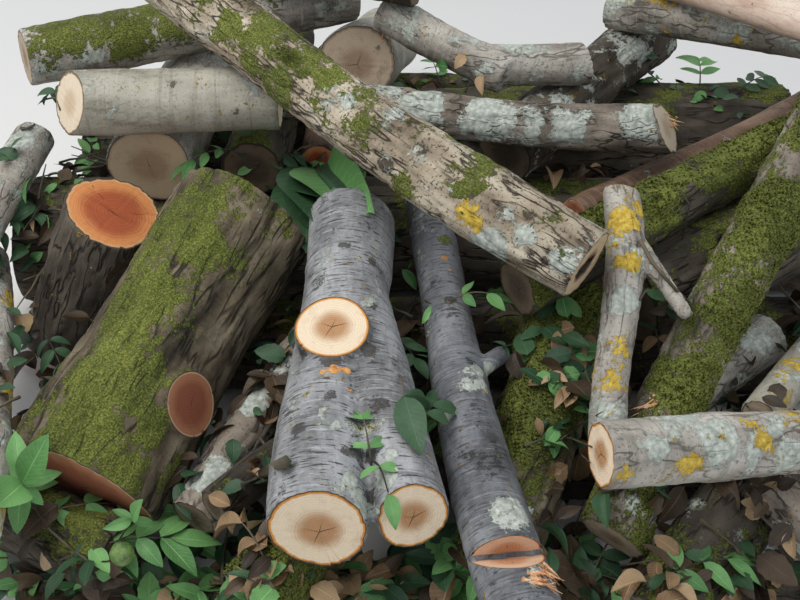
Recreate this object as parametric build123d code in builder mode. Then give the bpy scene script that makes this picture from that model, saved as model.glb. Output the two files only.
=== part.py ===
from build123d import *
import math
import os
import numpy as np

os.makedirs("parts", exist_ok=True)

# A heap of felled logs, stumps and branches, thrown down on level ground.
# Millimetres, +Z up. Each log lies on the two neighbours (or the ground) that
# carry it on either side of its middle, so its height and slope follow from
# its own size, its place in plan and the logs that were thrown down before it.

# Clearance between a log and what it lies on
seat_gap = 0.4
# Sections in each metre of a log
sections_in_metre = 5
# Points round the outline of one section
outline_points = 10
# Steps along and round a log where its clearance is looked at
steps_along = 25
steps_round = 20
# How far a chainsaw cut is out of square, and how much a stem swells and thins again
saw_cut = dict(butt_slant=3, butt_facing=60, tip_slant=4, tip_facing=200, swell=2)


class Limb:
    """One tapering, bending length of wood between two saw cuts, from its butt to its tip.

    A cut is slanted by its slant, and then faces the direction round the limb
    that its facing names: 0 is to the left, 90 up and 180 to the right.
    """

    def __init__(self, length, butt, tip, sweep=0, crown=0, wave=0, oval=0.03, lobe=0.02,
                 turn=0, flare=0, swell=0, butt_slant=0, butt_facing=90, tip_slant=0, tip_facing=90):
        self.length = length
        self.butt = butt
        self.tip = tip
        self.sweep = sweep
        self.crown = crown
        self.wave = wave
        self.oval = oval
        self.lobe = lobe
        self.turn = math.radians(turn)
        self.flare = flare
        self.swell = swell
        self.slants = [math.tan(math.radians(butt_slant)), math.tan(math.radians(tip_slant))]
        self.facings = [math.radians(butt_facing), math.radians(tip_facing)]
        self.normals = [self.cut_normal(end) for end in (0, 1)]
        self.low_share = -1.2 * self.slants[0] * (butt / 2 + flare) / length
        self.high_share = 1 + 1.2 * self.slants[1] * tip / 2 / length
        self.wood = self.saw_wood()

    def cut_normal(self, end):
        """Direction in which one of the two cut faces looks out of the wood."""
        slant = self.slants[end]
        facing = self.facings[end]
        normal = np.array([slant * math.cos(facing), slant * math.sin(facing), 2 * end - 1])
        return normal / np.linalg.norm(normal)

    def offset(self, share):
        """How far the pith bends aside and upward at this share of the length."""
        bow = 4 * share * (1 - share)
        aside = self.sweep * bow + self.wave * np.sin(2 * math.pi * share)
        above = self.crown * bow + 0.5 * self.wave * (np.sin(2 * math.pi * share + 1) - math.sin(1))
        return aside, above

    def outline(self, share):
        """Points of the bark round one section."""
        plain = (self.butt + (self.tip - self.butt) * share) / 2
        plain = plain + self.flare * (1 - share) ** 4
        plain = plain + self.swell * math.sin(2.6 * math.pi * share + self.turn)
        points = []
        for number in range(outline_points):
            angle = 2 * math.pi * number / outline_points
            lobes = self.lobe * math.cos(3 * angle + 2 * share + self.turn)
            reach = plain * (1 + self.oval * math.cos(2 * (angle - self.turn)) + lobes)
            points.append((reach * math.cos(angle), reach * math.sin(angle)))
        return points

    def saw_wood(self):
        """Solid of the limb, standing on the origin, with its two ends sawn off."""
        count = max(3, math.ceil(self.length / 1000 * sections_in_metre) + 1)
        with BuildPart() as wood:
            for share in np.linspace(self.low_share, self.high_share, count):
                aside, above = self.offset(share)
                with BuildSketch(Plane(origin=(aside, above, share * self.length))):
                    with BuildLine():
                        Spline(*self.outline(share), periodic=True)
                    make_face()
            loft()
            self.measure(wood.faces().sort_by(SortBy.AREA)[-1])
            for end in (0, 1):
                if self.slants[end] > 0:
                    cut = Plane(origin=(0, 0, end * self.length), z_dir=tuple(self.normals[end]))
                    split(bisect_by=cut, keep=Keep.BOTTOM)
        return wood.part

    def measure(self, bark):
        """Distance of the lofted bark from the pith, by share of length and angle."""
        around = np.linspace(0, 1, 33)[:-1]
        rows = [[tuple(bark.position_at(u, v)) for u in around] for v in np.linspace(0, 1, 41)]
        rows = np.array(rows)
        height = rows[:, 0, 2] / self.length
        aside, above = self.offset(height)
        ring = rows[..., 0] - aside[:, None] + 1j * (rows[..., 1] - above[:, None])
        waves = np.fft.fft(ring, axis=1)
        waves = np.concatenate([waves[:, :16], np.zeros((41, 224)), waves[:, 16:]], axis=1)
        ring = np.fft.ifft(waves, axis=1) * 8
        angles = np.linspace(0, 2 * math.pi, 257)[:-1]
        reach = [np.interp(angles, np.angle(row), abs(row), period=2 * math.pi) for row in ring]
        reach = np.array(reach)
        shares = np.linspace(self.low_share, self.high_share, 41)
        self.reach = np.array([np.interp(shares, height, column) for column in reach.T]).T

    def radius(self, share, angle):
        row = (np.clip(share, self.low_share, self.high_share) - self.low_share)
        row = row / (self.high_share - self.low_share) * 40
        low_row = np.minimum(row.astype(int), 39)
        row = row - low_row
        column = (angle / (2 * math.pi) % 1) * 256
        low_column = column.astype(int) % 256
        column = column - np.floor(column)
        next_column = (low_column + 1) % 256
        below = self.reach[low_row, low_column] * (1 - column) + self.reach[low_row, next_column] * column
        low_row = low_row + 1
        over = self.reach[low_row, low_column] * (1 - column) + self.reach[low_row, next_column] * column
        return below * (1 - row) + over * row

    def rim(self, end, angle):
        """Share of the length at which a slanted cut meets the bark."""
        away = self.radius(np.full(np.shape(angle), float(end)), angle) / self.length
        return end + (1 - 2 * end) * away * self.slants[end] * np.cos(angle - self.facings[end])

    def place(self, foot, along, side):
        """Stand the limb's butt at a point, with its length and its side turned so."""
        self.foot = foot
        self.along = along
        self.side = side
        self.up = np.cross(along, side)
        share = np.linspace(0, 1, steps_along)
        angle = np.linspace(0, 2 * math.pi, steps_round, endpoint=False)
        self.grid = np.meshgrid(share, angle, indexing="ij")
        self.points = self.skin(*self.grid)
        self.low = self.points.min((0, 1))
        self.high = self.points.max((0, 1))

    def skin(self, share, angle):
        """Points of the bark in the heap, from one cut to the other."""
        start = self.rim(0, angle)
        share = start + (self.rim(1, angle) - start) * share
        aside, above = self.offset(share)
        radius = self.radius(share, angle)
        aside = aside + radius * np.cos(angle)
        above = above + radius * np.sin(angle)
        return (self.foot + share[..., None] * self.length * self.along
                + aside[..., None] * self.side + above[..., None] * self.up)

    def clearance(self, points):
        """How far each point is outside the bark and the two cut ends."""
        away = points - self.foot
        frame = np.array([self.side, self.up, self.along])
        local = away @ frame.T
        share = np.clip(local[..., 2] / self.length, self.low_share, self.high_share)
        aside, above = self.offset(share)
        aside = local[..., 0] - aside
        above = local[..., 1] - above
        bark = np.hypot(aside, above) - self.radius(share, np.arctan2(above, aside))
        butt = local @ self.normals[0]
        tip = (local - [0, 0, self.length]) @ self.normals[1]
        ends = np.maximum(butt, tip)
        outside = np.hypot(np.maximum(bark, 0), np.maximum(ends, 0))
        return np.where((bark > 0) & (ends > 0), outside, np.maximum(bark, ends))

    def pith(self, share):
        aside, above = self.offset(share)
        return self.foot + share * self.length * self.along + aside * self.side + above * self.up

    def spot(self):
        return Plane(origin=tuple(self.foot), x_dir=tuple(self.side), z_dir=tuple(self.along)).location

    def placed_wood(self):
        return self.wood.moved(self.spot())

    def rot_out(self, width, height, depth):
        """The space of a rotten heart that opens at the butt, before the limb is placed."""
        with BuildPart() as hole:
            for share, size in ((-0.1, 1.05), (0, 1), (0.3, 0.8), (0.7, 0.62), (1, 0.3)):
                aside, above = self.offset(share * depth / self.length)
                with BuildSketch(Plane(origin=(aside, above, share * depth))):
                    with Locations((0.1 * size * width, 0)):
                        Ellipse(size * width / 2, size * height / 2, rotation=20 * share)
            loft()
        return hole.part

    def knot_out(self, at, roll, width, height, depth):
        """The space of a rotted knot that opens in the bark."""
        roll = math.radians(roll)
        surface = float(self.radius(np.array(float(at)), np.array(roll)))
        aside, above = self.offset(at)
        out = (math.cos(roll), math.sin(roll), 0)
        with BuildPart() as hole:
            for level, size in ((0.2, 1.12), (0, 1), (-0.5, 0.8), (-1, 0.45)):
                reach = surface + level * depth
                middle = (aside + reach * out[0], above + reach * out[1], at * self.length)
                with BuildSketch(Plane(origin=middle, x_dir=(0, 0, 1), z_dir=out)):
                    Ellipse(size * width / 2, size * height / 2)
            loft()
        return hole.part

    def notch_out(self, at, roll, depth, width):
        """The wedge that two saw cuts take out of one side of the limb."""
        roll = math.radians(roll)
        bark = float(self.radius(np.array(float(at)), np.array(roll)))
        aside, above = self.offset(at)
        reach = bark - depth
        bottom = (aside + reach * math.cos(roll), above + reach * math.sin(roll), at * self.length)
        across = (-math.sin(roll), math.cos(roll), 0)
        with BuildPart() as hole:
            with BuildSketch(Plane(origin=bottom, x_dir=(0, 0, 1), z_dir=across)):
                Polygon((0, 0), (0, 2 * depth), (-2 * width, 2 * depth), align=None)
            extrude(amount=2 * bark, both=True)
        return hole.part


class Log:
    """A log with the branches or stubs that grow out of it."""

    def __init__(self, name, x, y, heading, length, butt, tip, branches=(), **shape):
        self.name = name
        self.x = x
        self.y = y
        self.heading = math.radians(heading)
        self.stem = Limb(length, butt, tip, **{**saw_cut, **shape})
        self.branches = [self.sprout(**branch) for branch in branches]
        self.limbs = [self.stem] + [branch["limb"] for branch in self.branches]
        self.holes = []

    def sprout(self, at, lean, roll, reach, butt, tip, **shape):
        """A limb growing out of the stem that reaches this far out of its bark."""
        lean = math.radians(lean)
        roll = math.radians(roll)
        buried = float(self.stem.radius(np.array(float(at)), np.array(roll))) / math.sin(lean)
        return {"at": at, "lean": lean, "roll": roll, "limb": Limb(buried + reach, butt, tip, **shape)}

    def pose(self, butt_height, tip_height):
        rise = (tip_height - butt_height) / self.stem.length
        rise = max(-0.9995, min(0.9995, rise))
        run = math.sqrt(1 - rise * rise)
        along = np.array([run * math.cos(self.heading), run * math.sin(self.heading), rise])
        side = np.array([-math.sin(self.heading), math.cos(self.heading), 0.0])
        self.stem.place(np.array([self.x, self.y, butt_height], float), along, side)
        self.butt_height = butt_height
        self.tip_height = tip_height
        for branch in self.branches:
            self.grow(**branch)
        self.low = np.min([limb.low for limb in self.limbs], axis=0)
        self.high = np.max([limb.high for limb in self.limbs], axis=0)

    def grow(self, at, lean, roll, limb):
        stem = self.stem
        out = math.cos(roll) * stem.side + math.sin(roll) * stem.up
        along = math.cos(lean) * stem.along + math.sin(lean) * out
        side = math.cos(roll) * stem.up - math.sin(roll) * stem.side
        limb.place(stem.pith(np.array(float(at))), along, side)


def closest(limb, other, share, angle):
    """The point of a limb's skin near this one that comes closest to the other limb."""
    reach_along = 1 / (steps_along - 1)
    reach_round = 2 * math.pi / steps_round
    for _ in range(3):
        shares = np.clip(np.linspace(share - reach_along, share + reach_along, 9), 0, 1)
        angles = np.linspace(angle - reach_round, angle + reach_round, 9)
        grid = np.meshgrid(shares, angles, indexing="ij")
        points = limb.skin(*grid)
        gaps = other.clearance(points)
        best = np.unravel_index(np.argmin(gaps), gaps.shape)
        share = grid[0][best]
        angle = grid[1][best]
        reach_along /= 3.5
        reach_round /= 3.5
    return gaps[best], points[best]


def contacts(log, other, near):
    """Places where two logs come near: gap, how fast it grows as log is lifted, point."""
    found = []
    for limb in log.limbs:
        for under in other.limbs:
            if np.any(limb.low > under.high + near) or np.any(under.low > limb.high + near):
                continue
            for skin, body, sign in ((limb, under, 1), (under, limb, -1)):
                gaps = body.clearance(skin.points).min(1)
                for row in range(steps_along):
                    if gaps[row] > near or gaps[row] > gaps[max(row - 1, 0):row + 2].min():
                        continue
                    column = body.clearance(skin.points[row]).argmin()
                    gap, point = closest(skin, body, skin.grid[0][row, column], skin.grid[1][row, column])
                    lifted = np.array([point + [0, 0, 0.5], point - [0, 0, 0.5]])
                    slope = body.clearance(lifted)
                    found.append((gap, sign * (slope[0] - slope[1]), point))
    return found


def ground_contacts(log, near):
    """Lowest points of each section above level ground."""
    found = []
    for limb in log.limbs:
        for row in range(steps_along):
            column = limb.points[row, :, 2].argmin()
            if limb.points[row, column, 2] > near:
                continue
            angle = limb.grid[1][row, column] + np.linspace(-0.32, 0.32, 41)
            share = np.full(41, limb.grid[0][row, column])
            skin = limb.skin(share, angle)
            lowest = skin[:, 2].argmin()
            found.append((skin[lowest, 2] + seat_gap, 1.0, skin[lowest]))
    return found


def lowest_pose(rows, limit):
    """Change of butt and tip height that lowers the middle most and keeps every gap."""
    slopes = np.array([row[:2] for row in rows] + [(1, 0), (-1, 0), (0, 1), (0, -1)], float)
    needs = np.array([row[2] for row in rows] + [-limit] * 4, float)
    first, second = np.triu_indices(len(needs), 1)
    det = slopes[first, 0] * slopes[second, 1] - slopes[first, 1] * slopes[second, 0]
    real = np.abs(det) > 1e-6
    first, second, det = first[real], second[real], det[real]
    butt = (needs[first] * slopes[second, 1] - slopes[first, 1] * needs[second]) / det
    tip = (slopes[first, 0] * needs[second] - needs[first] * slopes[second, 0]) / det
    slack = slopes[:, 0] * butt[:, None] + slopes[:, 1] * tip[:, None] - needs
    # Where a neighbour only stands beside the log, lifting doesn't clear it
    beside = (np.abs(slopes).max(1) < 0.35) & (needs > 0)
    for kept in (slack, np.where(beside, 0, slack)):
        possible = kept.min(1) > -1e-6
        if possible.any():
            cost = np.where(possible, butt + tip, 1e9)
            return butt[cost.argmin()], tip[cost.argmin()]
    return limit / 2, limit / 2


def throw_down(log, heap):
    """Let a log down on the heap until two places carry it."""
    log.pose(0, 0)
    beneath = [other for other in heap
               if np.all(log.low[:2] < other.high[:2]) and np.all(other.low[:2] < log.high[:2])]
    start = max([other.high[2] for other in beneath] + [0]) + 120 - log.low[2] / 2
    log.pose(start, start)
    limit = 80.0
    for turn in range(75):
        rows = []
        found = ground_contacts(log, 2 * limit + 5)
        for other in heap:
            found = found + contacts(log, other, max(1.5 * limit, 20))
        for gap, slope, point in found:
            share = (point - log.stem.foot) @ log.stem.along / log.stem.length
            rows.append((slope * (1 - share), slope * share, seat_gap - gap))
        butt, tip = lowest_pose(rows, limit)
        log.pose(log.butt_height + butt, log.tip_height + tip)
        change = max(abs(butt), abs(tip))
        if change < 0.02:
            break
        if change < limit / 2:
            limit = max(2 * change, 2)
        if turn > 45:
            limit = max(0.6 * limit, 0.5)
    heap.append(log)


def tightest(log, heap):
    """Smallest gap between a log and the others."""
    gaps = [gap for other in heap for gap, slope, point in contacts(log, other, 60)]
    return min(gaps, default=60.0)


def halve(free, blocked, fits):
    """Value next to the limit between one that fits and one that doesn't."""
    for _ in range(24):
        middle = (free + blocked) / 2
        if fits(middle):
            free = middle
        else:
            blocked = middle
    return free


def stand_up(log, heap):
    """Stand a log on its butt and lean it over until it meets the heap."""
    def lean(slope):
        rise = math.sin(math.radians(slope)) * log.stem.length
        log.pose(0, rise)
        rim = log.stem.skin(np.zeros(720), np.linspace(0, 2 * math.pi, 720))
        lift = -rim[:, 2].min()
        log.pose(lift, lift + rise)
        return tightest(log, heap) > seat_gap

    lean(halve(88, 50, lean))
    heap.append(log)


def roll_up(log, reach, heap):
    """Roll a log along the ground, to its left, until it meets the heap."""
    throw_down(log, [])
    start = np.array([log.x, log.y])

    def roll(shift):
        log.x, log.y = start + shift * log.stem.side[:2]
        log.pose(log.butt_height, log.tip_height)
        return tightest(log, heap) > seat_gap

    roll(halve(0, reach, roll))
    heap.append(log)


def build_log(log):
    """The stem with the branches that grow out of it, as one solid."""
    with BuildPart() as wood:
        for limb in log.limbs:
            add(limb.placed_wood())
        for hole in log.holes:
            add(hole.moved(log.stem.spot()), mode=Mode.SUBTRACT)
    return wood


heap = []


def lay(name, **sizes):
    log = Log(name, **sizes)
    throw_down(log, heap)
    return log


# Thickness of the biggest logs on the ground
base_thickness = 208
trunk_thickness = 290
back_thickness = 316

# The mossy trunk at the left and the scar where its limb was sawn off
mossy_length = 630
mossy_thickness = 266
mossy_scar = 122

# The forked cherry stem in the middle, with its second arm and its sawn branch
twin_length = 760
twin_near = 148
twin_far = 164
arm_near = 118
arm_length = 227
twin_stub = 126

# The slender stem beside it and the notch where it was sawn half through
slender_length = 1130
slender_thickness = 112
notch_depth = 52
notch_width = 58

# The long log across the top, with its rotten heart and its rotted knot
hollow_length = 1180
hollow_thickness = 134
rot_width = 66
rot_height = 36
rot_depth = 380
knot_length = 74
knot_width = 34
knot_depth = 26

# Other logs whose sawn faces show
orange_height = 370
orange_thickness = 194
grey_stub_length = 448
grey_stub_thickness = 136
tan_length = 510
tan_thickness = 184
lichen_length = 900
right_log_length = 960

# Bottom of the heap, on the ground and mostly out of sight
lay("base_limb", x=-180, y=-345, heading=1, length=1150, butt=104, tip=92, sweep=-14)
lay("base_pole", x=-230, y=-60, heading=359, length=1230, butt=160, tip=148, sweep=18)
lay("base_log", x=980, y=240, heading=179, length=1420, butt=base_thickness, tip=184, sweep=-16)
lay("base_trunk", x=-870, y=590, heading=1, length=1920, butt=trunk_thickness, tip=256, sweep=20)
lay("back_trunk", x=1010, y=1000, heading=181, length=1800, butt=back_thickness, tip=290, sweep=-25)
lay("back_log", x=-650, y=1400, heading=2, length=1250, butt=170, tip=150, sweep=-20)
lay("right_pole", x=1130, y=-355, heading=93, length=820, butt=156, tip=140, sweep=-12)

# Left side
lay("mossy_trunk", x=-570, y=-185, heading=66, length=mossy_length, butt=mossy_thickness, tip=284,
    crown=10, oval=0.06, lobe=0.04, flare=12, swell=4, tip_slant=7, tip_facing=260,
    branches=[dict(at=0.285, lean=84, roll=160, reach=8, butt=mossy_scar + 14, tip=mossy_scar)])
dark_left = Log("dark_left", x=-1100, y=-75, heading=334, length=640, butt=142, tip=134, sweep=-10)
roll_up(dark_left, 200, heap)
orange_stump = Log("orange_stump", x=-730, y=341, heading=0, length=orange_height,
                   butt=orange_thickness + 14, tip=orange_thickness, lobe=0.05, tip_slant=7, tip_facing=180)
stand_up(orange_stump, heap)
lay("rough_brown", x=-362, y=-255, heading=64, length=640, butt=84, tip=90, sweep=10,
    branches=[dict(at=0.55, lean=50, roll=150, reach=24, butt=54, tip=46)])
lay("dark_under", x=-320, y=-280, heading=50, length=640, butt=62, tip=68, sweep=-8)
lay("moss_stump", x=-235, y=-435, heading=55, length=380, butt=122, tip=126)

# Right side
lay("lower_right", x=670, y=-155, heading=230, length=430, butt=136, tip=136, crown=8)
lay("fork_right", x=595, y=-295, heading=329, length=430, butt=82, tip=74, sweep=-12)
lay("moss_center", x=337, y=205, heading=252, length=650, butt=158, tip=130, sweep=14)
lay("dark_trunk", x=450, y=180, heading=29, length=850, butt=188, tip=228, crown=12, swell=4)
lay("mid_log", x=-328, y=560, heading=88, length=750, butt=140, tip=128, sweep=-10)
lay("left_limb", x=-930, y=475, heading=286, length=910, butt=86, tip=88, sweep=18)
lay("left_pole", x=-840, y=700, heading=263, length=660, butt=86, tip=96, sweep=-16)
lay("right_edge", x=925, y=195, heading=229, length=450, butt=86, tip=70, sweep=-10)

# Broken lengths in the gaps
lay("orange_scrap", x=-190, y=662, heading=90, length=240, butt=84, tip=76, crown=8)
lay("gap_limb", x=60, y=-330, heading=88, length=480, butt=44, tip=36, wave=6)

# The forked cherry stem in the middle and what lies beside it
lay("twin_stem", x=-125, y=-430, heading=88, length=twin_length, butt=twin_near, tip=twin_far,
    wave=5, swell=3, butt_slant=13, butt_facing=90,
    branches=[dict(at=0.7, lean=164.5, roll=176, reach=arm_length, butt=158, tip=arm_near,
                   tip_slant=13, tip_facing=180),
              dict(at=0.5, lean=104, roll=88, reach=18, butt=twin_stub + 12, tip=twin_stub)])
slender_stem = lay("slender_stem", x=186, y=-585, heading=97, length=slender_length, butt=slender_thickness, tip=84,
    sweep=16, wave=6, butt_slant=10, butt_facing=100,
    branches=[dict(at=0.45, lean=60, roll=170, reach=46, butt=38, tip=30)])
slender_stem.holes = [slender_stem.stem.notch_out(0.11, 90, notch_depth, notch_width)]
lay("moss_curve", x=215, y=80, heading=33, length=1160, butt=114, tip=104, crown=26, sweep=6)
lay("grey_right", x=480, y=-60, heading=40, length=330, butt=96, tip=100)
lay("brown_branch", x=380, y=472, heading=36, length=950, butt=82, tip=66, sweep=-14)
lay("right_mossy", x=950, y=560, heading=236.3, length=1170, butt=118, tip=110, sweep=-16, wave=6)
lay("yellow_branch", x=410, y=203, heading=262, length=495, butt=66, tip=66, sweep=10, wave=6,
    branches=[dict(at=0.14, lean=32, roll=10, reach=150, butt=36, tip=24)])
lay("right_log", x=292, y=-405, heading=19, length=right_log_length, butt=100, tip=106, sweep=8,
    butt_slant=12, butt_facing=320)

# Back of the heap
lay("tan_log", x=-550, y=545, heading=83, length=tan_length, butt=tan_thickness, tip=180, oval=0.05,
    butt_slant=5, butt_facing=110)
lay("grey_tan_log", x=-105, y=925, heading=84, length=640, butt=186, tip=190, oval=0.04, butt_slant=5)
lay("dark_rough", x=240, y=655, heading=52, length=700, butt=142, tip=150, crown=8, swell=4)
lay("pale_elbow", x=-35, y=960, heading=327, length=350, butt=100, tip=94, sweep=-12,
    branches=[dict(at=0.84, lean=40, roll=12, reach=150, butt=94, tip=98, tip_slant=16, tip_facing=270)])
lay("lichen_log", x=-305, y=690, heading=354, length=lichen_length, butt=96, tip=106, sweep=-18, wave=5,
    tip_slant=32, tip_facing=110,
    branches=[dict(at=0.9, lean=50, roll=110, reach=20, butt=44, tip=34)])
lay("grey_stub", x=-698, y=540, heading=4, length=grey_stub_length, butt=grey_stub_thickness, tip=140,
    sweep=-4, butt_slant=33, butt_facing=144)
lay("upper_left", x=-850, y=760, heading=28, length=820, butt=126, tip=140, sweep=-14, swell=4)
lay("top_dark", x=-440, y=1035, heading=345, length=500, butt=122, tip=112, crown=14)
lay("pale_right", x=535, y=1095, heading=318, length=820, butt=98, tip=112, sweep=26)
hollow_log = lay("hollow_log", x=326, y=8, heading=137.8, length=hollow_length, butt=hollow_thickness,
                 tip=hollow_thickness, sweep=24, wave=8, lobe=0.04, swell=3, butt_slant=7, butt_facing=200)
hollow_log.holes = [hollow_log.stem.rot_out(rot_width, rot_height, rot_depth),
                    hollow_log.stem.knot_out(0.6, 60, knot_length, knot_width, knot_depth)]
lay("peeled_limb", x=600, y=1090, heading=295, length=640, butt=90, tip=74, sweep=-10)

# The heap stands round the middle of its own outline
low = np.min([log.low for log in heap], axis=0)
high = np.max([log.high for log in heap], axis=0)
middle = (low + high) / 2
for log in heap:
    log.x = log.x - middle[0]
    log.y = log.y - middle[1]
    log.pose(log.butt_height, log.tip_height)

for log in heap:
    wood = build_log(log)
    wood.part.label = log.name
    export_step(wood.part, "parts/" + log.name + ".step")
    print(log.name, [round(float(value)) for value in (*log.stem.foot, log.butt_height, log.tip_height)])
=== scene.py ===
import bmesh
import bpy
import math
import numpy as np
from mathutils import Euler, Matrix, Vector
from mathutils.bvhtree import BVHTree

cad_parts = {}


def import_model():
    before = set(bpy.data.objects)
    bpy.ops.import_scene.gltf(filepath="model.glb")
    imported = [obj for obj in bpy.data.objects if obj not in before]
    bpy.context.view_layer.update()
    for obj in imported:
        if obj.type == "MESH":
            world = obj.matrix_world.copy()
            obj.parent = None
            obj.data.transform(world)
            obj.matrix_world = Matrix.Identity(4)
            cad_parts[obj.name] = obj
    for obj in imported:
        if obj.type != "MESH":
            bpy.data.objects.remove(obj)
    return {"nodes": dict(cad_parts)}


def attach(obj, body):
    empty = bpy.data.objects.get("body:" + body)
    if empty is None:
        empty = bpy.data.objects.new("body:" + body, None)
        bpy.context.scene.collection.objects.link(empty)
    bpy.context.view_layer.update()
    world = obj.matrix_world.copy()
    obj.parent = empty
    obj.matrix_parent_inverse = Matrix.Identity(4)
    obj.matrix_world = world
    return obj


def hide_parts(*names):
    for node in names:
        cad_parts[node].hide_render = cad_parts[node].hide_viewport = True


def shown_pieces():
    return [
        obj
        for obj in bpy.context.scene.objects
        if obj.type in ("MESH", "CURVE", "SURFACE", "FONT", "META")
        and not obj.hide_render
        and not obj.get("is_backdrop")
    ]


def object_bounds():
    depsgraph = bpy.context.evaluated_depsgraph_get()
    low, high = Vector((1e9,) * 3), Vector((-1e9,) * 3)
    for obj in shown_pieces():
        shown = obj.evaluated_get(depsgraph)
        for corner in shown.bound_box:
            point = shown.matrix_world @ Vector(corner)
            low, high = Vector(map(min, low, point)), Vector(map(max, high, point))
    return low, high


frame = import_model()
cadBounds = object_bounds()


# Random but repeatable unevenness, worked out for many points at once

def latticeValue(cell, seed):
    mixed = cell[:, 0] * 73856093 ^ cell[:, 1] * 19349663 ^ cell[:, 2] * 83492791 ^ (seed * 40503 + 977)
    mixed = ((mixed ^ (mixed >> 13)) * 1274126177) & 0x7FFFFFFF
    return ((mixed ^ (mixed >> 15)) & 0xFFFF) / 65535.0


def softNoise(points, size, seed):
    spots = points / size
    corner = np.floor(spots).astype(np.int64)
    part = spots - corner
    part = part * part * (3 - 2 * part)
    total = np.zeros(len(points))
    for number in range(8):
        step = np.array([number & 1, (number >> 1) & 1, (number >> 2) & 1])
        weight = np.prod(np.where(step, part, 1 - part), axis=1)
        total += weight * latticeValue(corner + step, seed)
    return 2 * total - 1


def layeredNoise(points, size, seed, layers=3):
    total = np.zeros(len(points))
    for layer in range(layers):
        total += softNoise(points, size / 2 ** layer, seed + layer) / 2 ** layer
    return total / 1.5


def eased(value, low, high):
    share = np.clip((value - low) / (high - low), 0, 1)
    return share * share * (3 - 2 * share)


# Small helpers that keep the node networks short

def addNode(tree, kind, inputs=None, **settings):
    made = tree.nodes.new(kind)
    for key, value in settings.items():
        setattr(made, key, value)
    for key, value in (inputs or {}).items():
        feed(tree, made.inputs[key], value)
    return made


def feed(tree, socket, value):
    if isinstance(value, bpy.types.NodeSocket):
        tree.links.new(value, socket)
    else:
        socket.default_value = value


def socketOf(sockets, identifier):
    return next(socket for socket in sockets if socket.identifier == identifier)


def calc(tree, operation, *values, clamp=False):
    made = addNode(tree, "ShaderNodeMath", operation=operation, use_clamp=clamp)
    for socket, value in zip(made.inputs, values):
        feed(tree, socket, value)
    return made.outputs[0]


def blend(tree, share, first, second):
    made = addNode(tree, "ShaderNodeMix", data_type="RGBA", blend_type="MIX")
    feed(tree, socketOf(made.inputs, "Factor_Float"), share)
    feed(tree, socketOf(made.inputs, "A_Color"), paint(first))
    feed(tree, socketOf(made.inputs, "B_Color"), paint(second))
    return socketOf(made.outputs, "Result_Color")


def paint(colour):
    return (*colour, 1) if isinstance(colour, tuple) and len(colour) == 3 else colour


def grade(tree, value, stops):
    made = addNode(tree, "ShaderNodeValToRGB", {"Fac": value})
    bar = made.color_ramp.elements
    while len(bar) < len(stops):
        bar.new(0.5)
    for mark, (place, colour) in zip(bar, stops):
        mark.position = place
        mark.color = paint(colour)
    return made.outputs["Color"]


def slope(tree, value, low, high):
    made = addNode(tree, "ShaderNodeMapRange", interpolation_type="SMOOTHSTEP")
    for key, number in (("Value", value), ("From Min", low), ("From Max", high)):
        feed(tree, made.inputs[key], number)
    return made.outputs["Result"]


def cloud(tree, vector, scale, stretch=(1, 1, 1), detail=4.0, roughness=0.6):
    stretched = addNode(tree, "ShaderNodeVectorMath", {0: vector, 1: stretch}, operation="MULTIPLY")
    made = addNode(tree, "ShaderNodeTexNoise", {
        "Vector": stretched.outputs[0], "Scale": scale, "Detail": detail, "Roughness": roughness})
    return made.outputs["Fac"]


def lumpsOf(tree, vector, scale):
    return addNode(tree, "ShaderNodeTexVoronoi", {"Vector": vector, "Scale": scale}).outputs["Distance"]


def attribute(tree, name, output="Fac"):
    made = addNode(tree, "ShaderNodeAttribute", attribute_type="GEOMETRY", attribute_name=name)
    return made.outputs[output]


def times(tree, *values):
    total = values[0]
    for value in values[1:]:
        total = calc(tree, "MULTIPLY", total, value)
    return total


def plus(tree, one, two):
    return calc(tree, "ADD", one, two)


def minus(tree, one, two):
    return calc(tree, "SUBTRACT", one, two)


def objectPlace(tree):
    return addNode(tree, "ShaderNodeTexCoord").outputs["Object"]


def newMaterial(name):
    material = bpy.data.materials.new(name)
    material.use_nodes = True
    return material, material.node_tree, material.node_tree.nodes["Principled BSDF"]


def dressSurface(tree, surface, colour, rough, specular=None, heights=()):
    feed(tree, surface.inputs["Base Color"], colour)
    feed(tree, surface.inputs["Roughness"], rough)
    if specular is not None:
        feed(tree, surface.inputs["Specular IOR Level"], specular)
    if heights:
        feed(tree, surface.inputs["Normal"], relief(tree, heights))


def scaled(colour, share):
    return tuple(min(1.0, share * part) for part in colour)


# A mesh's places or normals as rows of three numbers
def rowsOf(items, key="co"):
    values = np.empty(3 * len(items))
    items.foreach_get(key, values)
    return values.reshape(-1, 3)


def smooth(mesh):
    for face in mesh.polygons:
        face.use_smooth = True


def addPiece(name, shape):
    piece = bpy.data.objects.new(name, shape)
    bpy.context.scene.collection.objects.link(piece)
    return piece


def relief(tree, heights):
    total = 0.0
    for height, distance in heights:
        total = calc(tree, "MULTIPLY_ADD", height, distance, total)
    bump = addNode(tree, "ShaderNodeBump", {"Height": total, "Distance": 1.0, "Strength": 1.0})
    return bump.outputs["Normal"]


# Bark. Lengths are in metres. grain is a point's place in its own log, with Z along the log.

lichenTones = dict(
    lichen=((0.29, 0.32, 0.28), (0.62, 0.65, 0.58)),
    yellow=((0.42, 0.27, 0.03), (0.74, 0.55, 0.10)),
    moss=((0.022, 0.030, 0.008), (0.105, 0.125, 0.022), (0.30, 0.32, 0.070)),
    scrape=((0.50, 0.20, 0.05), (0.78, 0.42, 0.13)),
)
# What can lie on bark, in the order in which it goes on: how ragged its edge is, and its thickness in metres
crustKinds = (("scrape", 0.5, -0.001), ("lichen", 0.9, 0.0012), ("yellow", 1.3, 0.0012), ("moss", 1.0, 0.004))

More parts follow.
